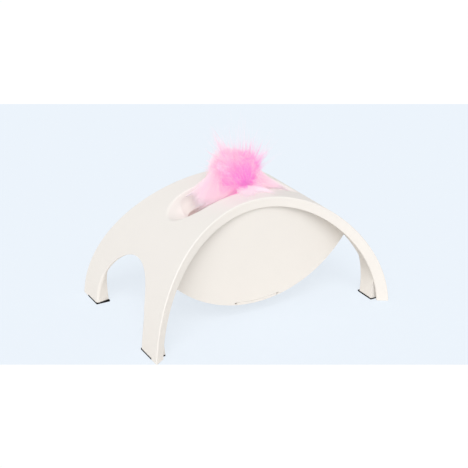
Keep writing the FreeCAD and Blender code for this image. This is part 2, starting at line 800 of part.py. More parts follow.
def make_battery_door():
    """Door in the housing's bottom with side tongues and a lip up the front wall."""
    front, inside = "-belly_half_width", "-belly_half_width + belly_wall"
    plate = belly_layer("DoorPlate", "belly_radius", "belly_floor_radius + door_clearance",
                        "door_half_length", (front, "door_rear"))
    tongues = belly_layer("DoorTongues", "belly_radius - belly_wall / 2 - seam_gap",
                          "belly_floor_radius + door_clearance", "door_half_length + door_tongue",
                          (f"{inside} + door_clearance", "door_rear"))
    lip = belly_layer("DoorLip", "belly_radius", "belly_radius - door_lip_height",
                      "door_half_length", (front, inside))
    part("battery_door", join("BatteryDoor", plate, tongues, lip))


CELLS = (("front", -1, 1), ("middle", 0, -1), ("rear", 1, 1))


def make_cells():
    """Three cells side by side, the middle one the other way round."""
    for name, row, sign in CELLS:
        y_text = f"{row} * cell_pitch"
        body_start, nub_start = ("-cell_length / 2", "cell_length / 2 - cell_nub_length")
        if sign < 0:
            body_start, nub_start = ("-cell_length / 2 + cell_nub_length", "-cell_length / 2")
        can = rod(f"Cell_{name}_can", "x", "cell_radius", (body_start, y_text, "cell_centre"),
                  "cell_length - cell_nub_length")
        nub = rod(f"Cell_{name}_nub", "x", "cell_nub_radius", (nub_start, y_text, "cell_centre"),
                  "cell_nub_length")
        part(f"battery_cell_{name}", join(f"Cell_{name}", can, nub))


def lead_hole(name, x_text, row):
    """Hole in the battery box's end wall for one lead."""
    return rod(name, "x", "lead_radius + seam_gap", (x_text, f"{row} * cell_pitch", "cell_centre"),
               "box_wall + 2 * overrun")


def make_battery_box():
    """Box over the cells, standing on the housing's curved bottom."""
    block = box("BoxBlock", ("-box_half_length", "box_half_length"),
                ("-box_half_width", "box_half_width"), ("belly_bottom", "deck"))
    inside = box("BoxInside", ("-bay_half_length", "bay_half_length"),
                 ("-bay_half_width", "bay_half_width"), ("belly_bottom - overrun", "cell_top"))
    ribs = [box(f"BoxRib_{side}", ("-cell_length / 4", "cell_length / 4"),
                (f"{sign} * cell_pitch / 2 - rib_half_thickness",
                 f"{sign} * cell_pitch / 2 + rib_half_thickness"),
                ("cell_top - rib_depth", "deck")) for side, sign in (("front", -1), ("rear", 1))]
    walls = common("BoxWalls", join("BoxSolids", cut("BoxShell", block, inside), *ribs),
                   belly_disc("BoxSeat", "belly_floor_radius - seam_gap", BELLY_SPAN))
    part("battery_box", cut("BatteryBox", walls,
                            lead_hole("LeadHoleLeft", "-box_half_length - overrun", 1),
                            lead_hole("LeadHoleRight", "bay_half_length - overrun", -1),
                            rod("LugPilot", "z", "screw_radius",
                                (LEFT_LUG_X, LUG_Y, "deck - deck_bite"), "deck_bite + overrun"),
                            *[rod(f"BracketPilot_{end}", "z", "screw_radius",
                                  (f"{sign} * bracket_half_width / 2", BRACKET_SCREW_Y,
                                   "deck - deck_bite"), "deck_bite + overrun")
                              for end, sign in (("left", -1), ("right", 1))]))


def make_contacts():
    """Springs at the cells' flat ends, and plates with buttons at their nubs."""
    springs = []
    buttons = []
    for name, row, sign in CELLS:
        y_text = f"{row} * cell_pitch"
        spring_start = "-cell_length / 2 - contact_length" if sign > 0 else "cell_length / 2"
        button_start = "cell_length / 2" if sign > 0 else "-cell_length / 2 - contact_length"
        radii = ("spring_wide_radius", "spring_narrow_radius")
        if sign < 0:
            radii = radii[::-1]
        springs.append(cone(f"Spring_{name}", "x", *radii, (spring_start, y_text, "cell_centre"),
                            "contact_length"))
        buttons.append(rod(f"Button_{name}", "x", "cell_nub_radius",
                           (button_start, y_text, "cell_centre"), "contact_length"))
    part("contact_springs", join("ContactSprings", *springs))
    sheets = []
    for end, sign, groups in (("left", -1, ((-1, 0), (1, 1))), ("right", 1, ((-1, -1), (0, 1)))):
        for first, last in groups:
            sheets.append(box(f"Sheet_{end}_{last + 1}",
                              along(sign, "bay_half_length - contact_sheet", "bay_half_length"),
                              (f"{first} * cell_pitch - contact_half_width",
                               f"{last} * cell_pitch + contact_half_width"),
                              ("cell_centre - contact_half_width", "cell_centre + contact_half_width")))
    part("contact_plates", join("ContactPlates", *sheets, *buttons))


def case_corners():
    """Where the gearbox's four corner screws stand."""
    return [(f"{level}_{end}", x_text, z_text)
            for level, z_text in (("low", "deck + case_post_radius"),
                                  ("high", "case_top - case_post_radius"))
            for end, x_text in (("left", "case_left + case_post_radius"),
                                ("right", "case_right - case_post_radius"))]


MOTOR_SCREWS = (("low", "motor_z - motor_screw_offset"), ("high", "motor_z + motor_screw_offset"))
GEAR_PINS = (("second", "second_x", "second_z"), ("first", "first_x", "first_z"))


def make_gearbox_case():
    """Open box that carries the gear pins, the motor and the wand shaft's rear bush."""
    outer = box("CaseBlock", ("case_left", "case_right"), ("case_front", "case_rear"),
                ("deck", "case_top"))
    inner = box("CaseInside", ("case_left + case_wall", "case_right - case_wall"),
                ("case_front - overrun", "case_rear_inner"), ("deck + case_wall", "case_top - case_wall"))
    posts = [rod(f"CasePost_{name}", "y", "case_post_radius", (x_text, "case_front", z_text),
                 "case_inner_depth + overrun") for name, x_text, z_text in case_corners()]
    lug_high = "deck + lug_thickness"
    lugs = [box("CaseLugLeft", ("-box_half_length", "case_left + overrun"), ("case_front", "case_rear"),
                ("deck", lug_high)),
            box("CaseLugRight", ("case_right - overrun", "case_right + lug_length"),
                ("case_front", "case_rear"), ("deck", lug_high))]
    seats = [rod(f"CaseSeat_{name}", "y", "gear_pin_radius", (x_text, "case_rear_inner - overrun", z_text),
                 "gear_pin_seat + overrun") for name, x_text, z_text in GEAR_PINS]
    pilots = [rod(f"CasePilot_{name}", "y", "screw_radius", (x_text, "case_front - overrun", z_text),
                  "cover_screw_length") for name, x_text, z_text in case_corners()]
    motor_holes = [rod(f"CaseMotorHole_{name}", "y", "screw_radius + screw_clearance",
                       ("motor_x", "case_rear_inner - overrun", z_text), "case_back + 2 * overrun")
                   for name, z_text in MOTOR_SCREWS]
    boss_hole = rod("CaseBossHole", "y", "motor_boss_radius + seam_gap",
                    ("motor_x", "case_rear_inner - overrun", "motor_z"), "case_back + 2 * overrun")
    bush_hole = rod("CaseBushHole", "y", "bush_radius",
                    ("0", "case_rear_inner - overrun", "pivot_height"), "case_back + 2 * overrun")
    lug_holes = [rod(f"LugHole_{name}", "z", "screw_radius + screw_clearance",
                     (x_text, LUG_Y, "deck - overrun"), "lug_thickness + 2 * overrun")
                 for name, x_text in (("left", LEFT_LUG_X), ("right", RIGHT_LUG_X))]
    solid = join("CaseSolids", cut("CaseShell", outer, inner), *posts, *lugs)
    part("gearbox_case", cut("GearboxCase", solid, boss_hole, bush_hole, *seats, *pilots,
                             *motor_holes, *lug_holes))


def make_gearbox_cover():
    """Front plate that closes the gearbox and carries the wand shaft's middle bush."""
    body = document.addObject("PartDesign::Body", "CoverPlate")
    sketch = sketch_on(body, "XZ_Plane", "CoverOutline")
    polygon(sketch, (("case_left", "deck"), ("case_right", "deck"), ("case_right", "case_top"),
                     ("case_left", "case_top")))
    pad(body, sketch, "cover_thickness", name="CoverPad")
    bind(body, {"Placement.Base.y": "gearbox_front + cover_thickness / 2"})
    seats = [rod(f"CoverSeat_{name}", "y", "gear_pin_radius",
                 (x_text, "case_front - gear_pin_seat", z_text), "gear_pin_seat + overrun")
             for name, x_text, z_text in GEAR_PINS]
    holes = [rod(f"CoverHole_{name}", "y", "screw_radius + screw_clearance",
                 (x_text, "gearbox_front - overrun", z_text), "cover_thickness + 2 * overrun")
             for name, x_text, z_text in case_corners()]
    bush_hole = rod("CoverBushHole", "y", "bush_radius", ("0", "gearbox_front - overrun", "pivot_height"),
                    "cover_thickness + 2 * overrun")
    part("gearbox_cover", cut("GearboxCover", body, bush_hole, *seats, *holes))


def make_gearbox_fasteners():
    """Cover screws, motor screws, mounting screws and the two gear pins."""
    corner = [screw(f"CoverScrew_{name}", "y", 1, (x_text, "gearbox_front", z_text),
                    "cover_screw_length", "case_post_radius - cover_screw_margin")
              for name, x_text, z_text in case_corners()]
    part("gearbox_screws", join("GearboxScrews", *corner))
    motor = [screw(f"MotorScrew_{name}", "y", 1, ("motor_x", "case_rear_inner", z_text),
                   "case_back + motor_bite", "motor_screw_head_radius") for name, z_text in MOTOR_SCREWS]
    part("motor_screws", join("MotorScrews", *motor))
    mounting = [screw(f"MountScrew_{name}", "z", -1, (x_text, LUG_Y, "deck + lug_thickness"), shank)
                for name, x_text, shank in (("left", LEFT_LUG_X, "lug_thickness + deck_bite"),
                                            ("right", RIGHT_LUG_X, "lug_thickness + post_bite"))]
    part("gearbox_mount_screws", join("MountScrews", *mounting))
    for name, x_text, z_text in GEAR_PINS:
        part(f"{name}_gear_pin", rod(f"GearPin_{name}", "y", "gear_pin_radius",
                                     (x_text, "case_front - gear_pin_seat", z_text),
                                     "case_inner_depth + 2 * gear_pin_seat"))


def tooth_angle(teeth, radius):
    """Half the angle that one involute tooth takes up at a radius, thinned for backlash."""
    pressure = math.radians(value("pressure_angle"))
    base = value("module") * teeth / 2 * math.cos(pressure)
    roll = math.acos(min(1.0, base / radius))
    spread = math.tan(pressure) - pressure - (math.tan(roll) - roll)
    return math.pi / (2 * teeth) + spread - value("tooth_thinning") / radius


def gear_shape(teeth, width, phase):
    """Toothed disc along Z, one tooth centred at the phase angle from the X axis."""
    module = value("module")
    pitch = module * teeth / 2
    radii = (pitch - value("tooth_root") * module, pitch, pitch + value("tooth_top") * module)
    points = []
    for tooth in range(teeth):
        middle = math.radians(phase) + 2 * math.pi * tooth / teeth
        rising = [(radius, middle - tooth_angle(teeth, radius)) for radius in radii]
        falling = [(radius, middle + tooth_angle(teeth, radius)) for radius in reversed(radii)]
        points += [Vector(radius * math.cos(angle), radius * math.sin(angle), 0)
                   for radius, angle in rising + falling]
    outline = Part.makePolygon(points + points[:1])
    return Part.Face(outline).extrude(Vector(0, 0, value(width)))


def stacked(layers, bore):
    """Layers of a gear one on another along Z, with a bore through them."""
    solid = layers[0]
    for layer in layers[1:]:
        solid = solid.fuse(layer)
    depth = solid.BoundBox.ZLength + 2
    hole = Part.makeCylinder(bore, depth, Vector(0, 0, solid.BoundBox.ZMin - 1))
    return solid.cut(hole).removeSplitter()


def gear_part(label, shape, x_text, z_text):
    """Set a gear drawn along Z on its axle, with Z towards the front."""
    item = document.addObject("Part::Feature", label + "_gear")
    item.Shape = shape
    item.Placement = FreeCAD.Placement(Vector(value(x_text), 0, value(z_text)),
                                       FreeCAD.Rotation(Vector(1, 0, 0), 90))
    return part(label, item)


def raised(shape, far_y):
    """Move a layer so that its lower face lies at a place along the axle."""
    shape.translate(Vector(0, 0, -value(far_y)))
    return shape


def hub_between(near_y, far_y, radius):
    """Plain hub of a gear between two places along the axle."""
    return raised(Part.makeCylinder(value(radius), value(f"({far_y}) - ({near_y})")), far_y)


def make_gears():
    """Wheel on the wand shaft, two compound gears and the motor's pinion, in mesh at rest."""
    wheel = int(value("wheel_teeth"))
    pinion = int(value("pinion_teeth"))
    half_tooth = 180 / pinion
    running = value("gear_pin_radius + running_clearance")
    ends = ("case_front + axial_gap", "case_rear_inner - axial_gap")
    toward = {name: value(name + "_angle") for name in ("second_gear", "first_gear", "motor")}
    output = [raised(gear_shape(wheel, "wheel_width", toward["second_gear"]),
                     "first_layer + wheel_width"),
              hub_between(ends[0], "first_layer + wheel_width + axial_gap", "output_hub_radius")]
    gear_part("output_gear", stacked(output, value("shaft_radius")), "0", "pivot_height")
    compounds = (("second_gear", "first_layer - pinion_margin", "second_layer", "second_x",
                  "second_z", toward["second_gear"], toward["first_gear"]),
                 ("first_gear", "second_layer - pinion_margin", "third_layer", "first_x", "first_z",
                  toward["first_gear"], toward["motor"]))
    for label, pinion_front, wheel_front, x_text, z_text, driven, driving in compounds:
        layers = [raised(gear_shape(wheel, "wheel_width", driving), wheel_front + " + wheel_width"),
                  raised(gear_shape(pinion, f"{wheel_front} - ({pinion_front}) + layer_lap",
                                    driven + 180 + half_tooth), wheel_front + " + layer_lap"),
                  hub_between(*ends, "gear_hub_radius")]
        gear_part(label, stacked(layers, running), x_text, z_text)
    motor_pinion = [raised(gear_shape(pinion, "wheel_width + 2 * pinion_margin",
                                      toward["motor"] + 180 + half_tooth),
                           "third_layer + wheel_width + pinion_margin")]
    gear_part("motor_pinion", stacked(motor_pinion, value("motor_shaft_radius")),
              "motor_x", "motor_z")


def make_motor():
    """Flat round motor behind the gearbox, with its end cap, tabs and shaft."""
    can = rod("MotorCan", "y", "motor_radius", ("motor_x", "case_rear", "motor_z"), "motor_length")
    boss = rod("MotorBoss", "y", "motor_boss_radius",
               ("motor_x", "case_rear_inner + layer_lap", "motor_z"), "case_back")
    bore = rod("MotorBore", "y", "motor_shaft_radius + running_clearance",
               ("motor_x", "case_rear_inner - overrun", "motor_z"),
               "case_back + overrun + motor_shaft_grip + axial_gap")
    holes = [rod(f"MotorPilot_{name}", "y", "screw_radius",
                 ("motor_x", "case_rear - overrun", z_text), "motor_bite + overrun")
             for name, z_text in MOTOR_SCREWS]
    part("motor_can", cut("MotorBody", join("MotorSolids", can, boss), bore, *holes))
    part("motor_end_cap", rod("MotorCap", "y", "motor_radius - motor_cap_inset",
                              ("motor_x", "motor_rear", "motor_z"), "motor_cap_length"))
    tabs = [box(f"MotorTab_{side}", (f"motor_x {sign} terminal_offset - terminal_half_width",
                                     f"motor_x {sign} terminal_offset + terminal_half_width"),
                ("terminal_foot", "terminal_end"),
                ("motor_z - terminal_half_thickness", "motor_z + terminal_half_thickness"))
            for side, sign in (("left", "-"), ("right", "+"))]
    part("motor_terminals", join("MotorTerminals", *tabs))
    part("motor_shaft", rod("MotorShaft", "y", "motor_shaft_radius",
                            ("motor_x", "third_layer - pinion_margin", "motor_z"),
                            "case_rear + motor_shaft_grip - third_layer"))


def bush(label, name, near_y, length_text, flange_y=None):
    """Bush about the wand shaft, with a flange where one is asked for."""
    solid = rod(name + "_sleeve", "y", "bush_radius", ("0", near_y, "pivot_height"), length_text)
    if flange_y:
        flange = rod(name + "_flange", "y", "bush_radius + bush_flange_width",
                     ("0", flange_y, "pivot_height"), "bush_flange")
        solid = join(name + "_solids", solid, flange)
    bore = rod(name + "_bore", "y", "bore_radius", ("0", "-belly_half_width", "pivot_height"),
               "2 * belly_half_width")
    part(label, cut(name, solid, bore))


def make_shaft_supports():
    """Bracket in front of the wand, and the three bushes that the wand shaft turns in."""
    body = document.addObject("PartDesign::Body", "BracketPlate")
    sketch = sketch_on(body, "YZ_Plane", "BracketOutline")
    foot = "-bracket_rear - bracket_foot"
    top = "pivot_height + bush_radius + bracket_margin"
    polygon(sketch, (("-bracket_front", "deck"), ("-bracket_front", top), ("-bracket_rear", top),
                     ("-bracket_rear", "deck + bracket_thickness"), (foot, "deck + bracket_thickness"),
                     (foot, "deck")))
    pad(body, sketch, "2 * bracket_half_width", name="BracketPad")
    hole = rod("BracketBushHole", "y", "bush_radius", ("0", "-bracket_rear - overrun", "pivot_height"),
               "bracket_thickness + 2 * overrun")
    screws = [rod(f"BracketHole_{end}", "z", "screw_radius + screw_clearance",
                  (f"{sign} * bracket_half_width / 2", BRACKET_SCREW_Y, "deck - overrun"),
                  "bracket_thickness + 2 * overrun") for end, sign in (("left", -1), ("right", 1))]
    part("shaft_bracket", cut("ShaftBracket", body, hole, *screws))
    fixings = [screw(f"BracketScrew_{end}", "z", -1,
                     (f"{sign} * bracket_half_width / 2", BRACKET_SCREW_Y, "deck + bracket_thickness"),
                     "bracket_thickness + deck_bite") for end, sign in (("left", -1), ("right", 1))]
    part("bracket_screws", join("BracketScrews", *fixings))
    bush("front_bush", "FrontBush", "-bracket_rear", "bracket_thickness",
         "-bracket_rear - bush_flange")
    bush("middle_bush", "MiddleBush", "gearbox_front", "cover_thickness")
    bush("rear_bush", "RearBush", "case_rear_inner", "case_back", "case_rear")


def make_wand_drive():
    """Wand shaft, with a clip against the bush at each end."""
    part("wand_shaft", rod("WandShaft", "y", "shaft_radius", ("0", "-shaft_front_end", "pivot_height"),
                           "shaft_front_end + shaft_rear_end"))
    clips = []
    for name, near in (("front", "-bracket_rear - bush_flange - axial_gap - clip_thickness"),
                       ("rear", "case_rear + bush_flange + axial_gap")):
        ring = rod(f"Clip_{name}_disc", "y", "clip_radius", ("0", near, "pivot_height"),
                   "clip_thickness")
        hole = rod(f"Clip_{name}_hole", "y", "shaft_radius", ("0", f"({near}) - overrun", "pivot_height"),
                   "clip_thickness + 2 * overrun")
        clips.append(cut(f"Clip_{name}", ring, hole))
    part("shaft_clips", join("ShaftClips", *clips))


def make_wand_arm():
    """Arm clamped on the shaft, with a socket for the rod in its end."""
    body = document.addObject("PartDesign::Body", "WandArm")
    blade = sketch_on(body, "XZ_Plane", "ArmOutline")
    polygon(blade, (("-arm_foot_half_width", "0"), ("arm_foot_half_width", "0"),
                    ("arm_half_width", "arm_reach"), ("-arm_half_width", "arm_reach")))
    pad(body, blade, "2 * arm_half_thickness", name="ArmPad")
    hub = sketch_on(body, "XZ_Plane", "HubOutline")
    circle(hub, ("0", "0"), "hub_radius")
    pad(body, hub, "2 * hub_half_width", name="HubPad")
    bore = sketch_on(body, "XZ_Plane", "HubBore")
    circle(bore, ("0", "0"), "shaft_radius")
    pocket(body, bore, name="ShaftHole")
    socket = rod("ArmSocket", "z", "rod_radius", ("0", "0", "arm_reach - arm_socket_depth"),
                 "arm_socket_depth + overrun")
    thread = rod("SetScrewHole", "x", "set_screw_radius", ("0", "0", "0"), "hub_radius + overrun")
    part("wand_arm", on_wand(cut("WandArmCut", body, socket, thread)))
    grub = rod("SetScrewBar", "x", "set_screw_radius", ("shaft_radius", "0", "0"),
               "hub_radius - shaft_radius")
    hollow = rod("SetScrewSocket", "x", "set_screw_radius / 2", ("hub_radius - set_screw_socket", "0", "0"),
                 "2 * set_screw_socket")
    part("set_screw", on_wand(cut("SetScrew", grub, hollow)))


def make_feather_wand():
    """Rod from the arm up to the ferrule that grips the feather."""
    seat = "(ferrule_top + ferrule_bottom) / 2"
    start = "arm_reach - arm_socket_depth"
    part("wand_rod", on_wand(rod("WandRod", "z", "rod_radius", ("0", "0", start),
                                 f"{seat} - ({start})")))
    bind(parts[-1], {"Placement.Base.x": f"({start}) * sin(rest_tilt)",
                     "Placement.Base.z": f"pivot_height + ({start}) * cos(rest_tilt)"})
    body = document.addObject("PartDesign::Body", "Ferrule")
    sketch = sketch_on(body, "XZ_Plane", "FerruleProfile")
    polygon(sketch, (("rod_radius", "ferrule_bottom"), ("ferrule_radius - ferrule_taper", "ferrule_bottom"),
                     ("ferrule_radius", "ferrule_bottom + ferrule_taper_length"),
                     ("ferrule_radius", "ferrule_top"),
                     ("quill_radius", "ferrule_top"), ("quill_radius", seat),
                     ("rod_radius", seat)))
    revolve(body, sketch, name="FerruleTurn")
    part("feather_ferrule", on_wand(body))


def make_tuft():
    """Plain closed solid of the fluffy feather, widest below its middle and round on top."""
    body = document.addObject("PartDesign::Body", "Tuft")
    sketch = sketch_on(body, "XZ_Plane", "TuftProfile")
    corners = (("0", "0"), ("tuft_neck_radius", "0"), ("tuft_radius", "tuft_widest"),
               ("tuft_shoulder_radius", "tuft_shoulder"), ("0", "tuft_height"))
    points = [Vector(value(across), value(up), 0) for across, up in corners]
    for start, end in zip(points[:3], points[1:4]):
        sketch.addGeometry(Part.LineSegment(start, end), False)
    centre = points[4] - Vector(0, value("tuft_dome_radius"), 0)
    shoulder_angle = math.atan2(points[3].y - centre.y, points[3].x)
    dome = Part.Circle(centre, Vector(0, 0, 1), value("tuft_dome_radius"))
    sketch.addGeometry(Part.ArcOfCircle(dome, shoulder_angle, math.pi / 2), False)
    sketch.addGeometry(Part.LineSegment(points[4], points[0]), False)
    for edge in range(5):
        sketch.addConstraint(Sketcher.Constraint("Coincident", edge, 2, (edge + 1) % 5, 1))
    for edge, (across, up) in enumerate(corners):
        hold(sketch, "DistanceX", edge, 1, across)
        hold(sketch, "DistanceY", edge, 1, up)
    hold_radius(sketch, 3, "tuft_dome_radius")
    revolve(body, sketch, name="TuftTurn")
    body.Placement = FreeCAD.Placement(Vector(), FreeCAD.Rotation(Vector(0, 1, 0), -1))
    bind(body, {"Placement.Base.x": "ferrule_top * sin(rest_tilt)",
                "Placement.Base.z": "pivot_height + ferrule_top * cos(rest_tilt)",
                "Placement.Rotation.Angle": "tuft_lean"})
    part("feather_tuft", body)


def make_board():
    """Circuit board on its posts, with its components and screws."""
    body = document.addObject("PartDesign::Body", "BoardPlate")
    outline = sketch_on(body, "XY_Plane", "BoardOutline")
    polygon(outline, (("-board_left", "-board_half_width"), ("-board_right", "-board_half_width"),
                      ("-board_right", "board_half_width"), ("-board_left", "board_half_width")))
    pad(body, outline, "board_thickness", midplane=False, name="BoardPad")
    holes = sketch_on(body, "XY_Plane", "BoardHoles")
    for _, x_text, y_text in board_posts():
        circle(holes, (x_text, y_text), "screw_radius + screw_clearance")
    pocket(body, holes, name="BoardDrill")
    bind(body, {"Placement.Base.z": "board_height"})
    part("circuit_board", body)
    screws = [screw(f"BoardScrew_{name}", "z", -1, (x_text, y_text, "board_top"),
                    "board_screw_length") for name, x_text, y_text in board_posts()]
    part("board_screws", join("BoardScrews", *screws))
    middle = "-(board_left + board_right) / 2"
    part("control_chip", box("Chip", (f"{middle} - chip_half_length", f"{middle} + chip_half_length"),
                             ("-chip_half_width", "chip_half_width"),
                             ("board_top", "board_top + chip_height")))
    part("capacitor", rod("Capacitor", "z", "capacitor_radius",
                          (f"{middle} - capacitor_left", "-capacitor_front", "board_top"),
                          "capacitor_height"))
    transistors = [box(f"Transistor_{number}",
                       (f"{middle} - driver_left", f"{middle} - driver_left + driver_length"),
                       (f"{1.5 * number + 1} * driver_length", f"{1.5 * number + 2} * driver_length"),
                       ("board_top", "board_top + driver_height")) for number in range(2)]
    part("motor_drivers", join("MotorDrivers", *transistors))
    part("lead_socket", box("LeadSocket", ("-board_right - socket_inset - socket_length",
                                           "-board_right - socket_inset"),
                            ("-socket_front", "socket_rear"),
                            ("board_top", "board_top + socket_height")))


def make_switch():
    """Slide switch behind the rear wall, and the knob that reaches through it."""
    inner = "belly_half_width - belly_wall"
    block = box("SwitchBlock",
                ("-switch_x + switch_travel / 2 - opening_half_length - switch_rim",
                 "-switch_x + switch_travel / 2 + opening_half_length + switch_rim"),
                (f"{inner} - switch_depth", inner),
                ("switch_z - opening_half_height - switch_rim / 2",
                 "switch_z + opening_half_height + switch_rim / 2"))
    part("switch_body", cut("SwitchBody", block, switch_window("SwitchTrack",
                                                       (f"{inner} - knob_root - knob_gap", inner))))
    knob = box("KnobBlock", ("-switch_x - knob_half_length", "-switch_x + knob_half_length"),
               (f"{inner} - knob_root", "belly_half_width + knob_proud"),
               ("switch_z - knob_half_height", "switch_z + knob_half_height"))
    grooves = [box(f"KnobGroove_{number}",
                   (f"-switch_x + {number} * groove_pitch - groove_half_width",
                    f"-switch_x + {number} * groove_pitch + groove_half_width"),
                   ("belly_half_width + knob_proud - groove_depth",
                    "belly_half_width + knob_proud + overrun"),
                   ("switch_z - knob_half_height - overrun", "switch_z + knob_half_height + overrun"))
               for number in (-1, 0, 1)]
    part("switch_knob", cut("SwitchKnob", knob, *grooves))


def lead_path(points):
    """Straight runs joined by tangent arcs, each arc as large as its two runs allow."""
    edges = []
    start = points[0]
    for before, corner, after in zip(points, points[1:], points[2:]):
        arrive = (corner - before).normalize()
        leave = (after - corner).normalize()
        half_turn = arrive.getAngle(leave) / 2
        setback = 0.45 * min((corner - before).Length, (after - corner).Length)
        radius = setback / math.tan(half_turn)
        inward = (leave - arrive).normalize()
        middle = corner + inward * (radius / math.cos(half_turn) - radius)
        near, far = corner - arrive * setback, corner + leave * setback
        edges.append(Part.LineSegment(start, near).toShape())
        edges.append(Part.Arc(near, middle, far).toShape())
        start = far
    edges.append(Part.LineSegment(start, points[-1]).toShape())
    return Part.Wire(edges)


def lead(label, places):
    """Insulated lead along its route."""
    points = [Vector(*(value(text) for text in place_texts)) for place_texts in places]
    path = lead_path(points)
    forward = (points[1] - points[0]).normalize()
    ring = Part.Wire(Part.makeCircle(value("lead_radius"), points[0], forward))
    tube = path.makePipeShell([ring], True, False)
    expected = path.Length * math.pi * value("lead_radius") ** 2
    print(f"{label}: {path.Length:.1f} mm, volume {tube.Volume / expected:.3f} of section by length")
    item = document.addObject("Part::Feature", label + "_tube")
    item.Shape = tube
    part(label, item)


def make_leads():
    """Leads from the motor, the battery contacts and the switch to the board's socket."""
    top = "board_top + socket_height"
    socket_x = "-board_right - socket_inset - socket_length / 2"
    for label, side, lift, socket_y in (("motor_lead_red", "-", 0, "0.5"),
                                        ("motor_lead_black", "+", 2.5, "3")):
        x_text = f"motor_x {side} terminal_offset"
        lead(label, ((x_text, "terminal_end", "motor_z"), (x_text, "terminal_end + 2.6", "motor_z"),
                     (x_text, "terminal_end + 1.0", f"motor_z + 8 + {lift}"),
                     ("first_x", f"case_rear + 10 + {lift}", f"motor_z + 12 + {lift}"),
                     ("0", f"case_rear + 8 + {lift}", f"motor_z + 12 + {lift}"),
                     ("case_left - 6", f"case_rear + 2 + {lift}", f"motor_z + 8 + {lift}"),
                     (socket_x, socket_y, f"{top} + 14 + {lift}"), (socket_x, socket_y, top)))
    lead("battery_lead_red", (("-bay_half_length", "cell_pitch", "cell_centre"),
                              ("-box_half_length - 4", "cell_pitch", "cell_centre"),
                              ("-box_half_length - 4", "cell_pitch - 4", f"{top} + 5"),
                              (socket_x, "5.5", f"{top} + 6"), (socket_x, "5.5", top)))
    lead("battery_lead_black", (("bay_half_length", "-cell_pitch", "cell_centre"),
                                ("box_half_length + 4", "-cell_pitch", "cell_centre"),
                                ("box_half_length + 3", "-box_half_width - 6", "cell_centre + 4"),
                                ("0", "-box_half_width - 8", "cell_centre"),
                                ("-box_half_length - 2", "-box_half_width - 4", "cell_centre + 6"),
                                ("-box_half_length - 4", "-cell_pitch", f"{top} + 6"),
                                (socket_x, "-6.5", f"{top} + 7"), (socket_x, "-6.5", top)))
    rear = "belly_half_width - belly_wall - switch_depth"
    for label, x_text, reach, socket_y in (("switch_lead_red", "-switch_x + 4", 5, "10"),
                                           ("switch_lead_black", "-switch_x", 8, "8")):
        lead(label, ((x_text, rear, "switch_z"), (x_text, f"{rear} - {reach}", "switch_z"),
                     (socket_x, socket_y, f"{top} + {reach}"), (socket_x, socket_y, top)))


def check_parts():
    """Stop if any object failed or any sub-part has no sound shape."""
    document.recompute()
    for item in document.Objects:
        if "Invalid" in item.State or "Error" in item.State:
            raise ValueError(f"{item.Name} failed: {item.State}")
    for item in parts:
        if item.Shape.isNull() or not item.Shape.isValid() or not item.Shape.Solids:
            raise ValueError(f"{item.Label} has no sound shape")


def write_parts():
    """One file for each sub-part, named after its label."""
    os.makedirs("parts", exist_ok=True)
    for item in parts:
        item.Shape.exportStep(f"parts/{item.Label}.step")
        print(f"{item.Label}: {len(item.Shape.Solids)} solid(s), {item.Shape.Volume:.1f} mm3")


fill_sheet()
make_arch_shell()
make_foot_pads()
make_trough_floor()
make_belly_housing()
make_shell_screws()
make_battery_door()
make_cells()
make_battery_box()
make_contacts()
make_gearbox_case()
make_gearbox_cover()
make_gearbox_fasteners()
make_gears()
make_motor()
make_shaft_supports()
make_wand_drive()
make_wand_arm()
make_feather_wand()
make_tuft()
make_board()
make_switch()
make_leads()
check_parts()
write_parts()
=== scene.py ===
"""Looks of the arch feather teaser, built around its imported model. Metres."""

import json
import math
import random

import bmesh
import bpy
import numpy as np
from bpy.props import FloatProperty, FloatVectorProperty, IntProperty, PointerProperty
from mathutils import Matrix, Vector, geometry, noise


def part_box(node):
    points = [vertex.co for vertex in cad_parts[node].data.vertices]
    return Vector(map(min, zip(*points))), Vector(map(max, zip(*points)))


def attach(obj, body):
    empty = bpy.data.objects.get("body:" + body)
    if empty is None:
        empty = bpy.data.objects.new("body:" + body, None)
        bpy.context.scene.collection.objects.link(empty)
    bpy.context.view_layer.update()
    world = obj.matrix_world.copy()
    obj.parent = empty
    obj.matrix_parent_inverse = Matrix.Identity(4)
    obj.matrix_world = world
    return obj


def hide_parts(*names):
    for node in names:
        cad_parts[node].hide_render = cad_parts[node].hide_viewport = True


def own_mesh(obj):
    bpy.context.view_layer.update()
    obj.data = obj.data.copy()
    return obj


bl_info = {
    "name": "Arch feather teaser",
    "version": (1, 0, 0),
    "blender": (4, 5, 0),
    "location": "View3D > Sidebar > Teaser",
    "description": "Vault, housing, feather and stage of an arch feather teaser",
    "category": "Object",
}

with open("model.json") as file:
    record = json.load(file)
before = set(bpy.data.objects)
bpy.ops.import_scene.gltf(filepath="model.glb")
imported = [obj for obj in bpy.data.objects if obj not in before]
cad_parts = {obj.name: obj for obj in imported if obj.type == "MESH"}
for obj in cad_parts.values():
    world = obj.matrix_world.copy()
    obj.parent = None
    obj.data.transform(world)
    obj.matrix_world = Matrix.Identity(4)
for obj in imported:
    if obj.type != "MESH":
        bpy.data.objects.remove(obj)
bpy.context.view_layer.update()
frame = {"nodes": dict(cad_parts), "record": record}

MM = 0.001
UP = Vector((0, 0, 1))
QUARTER = math.pi / 2
BLACK = (0, 0, 0)

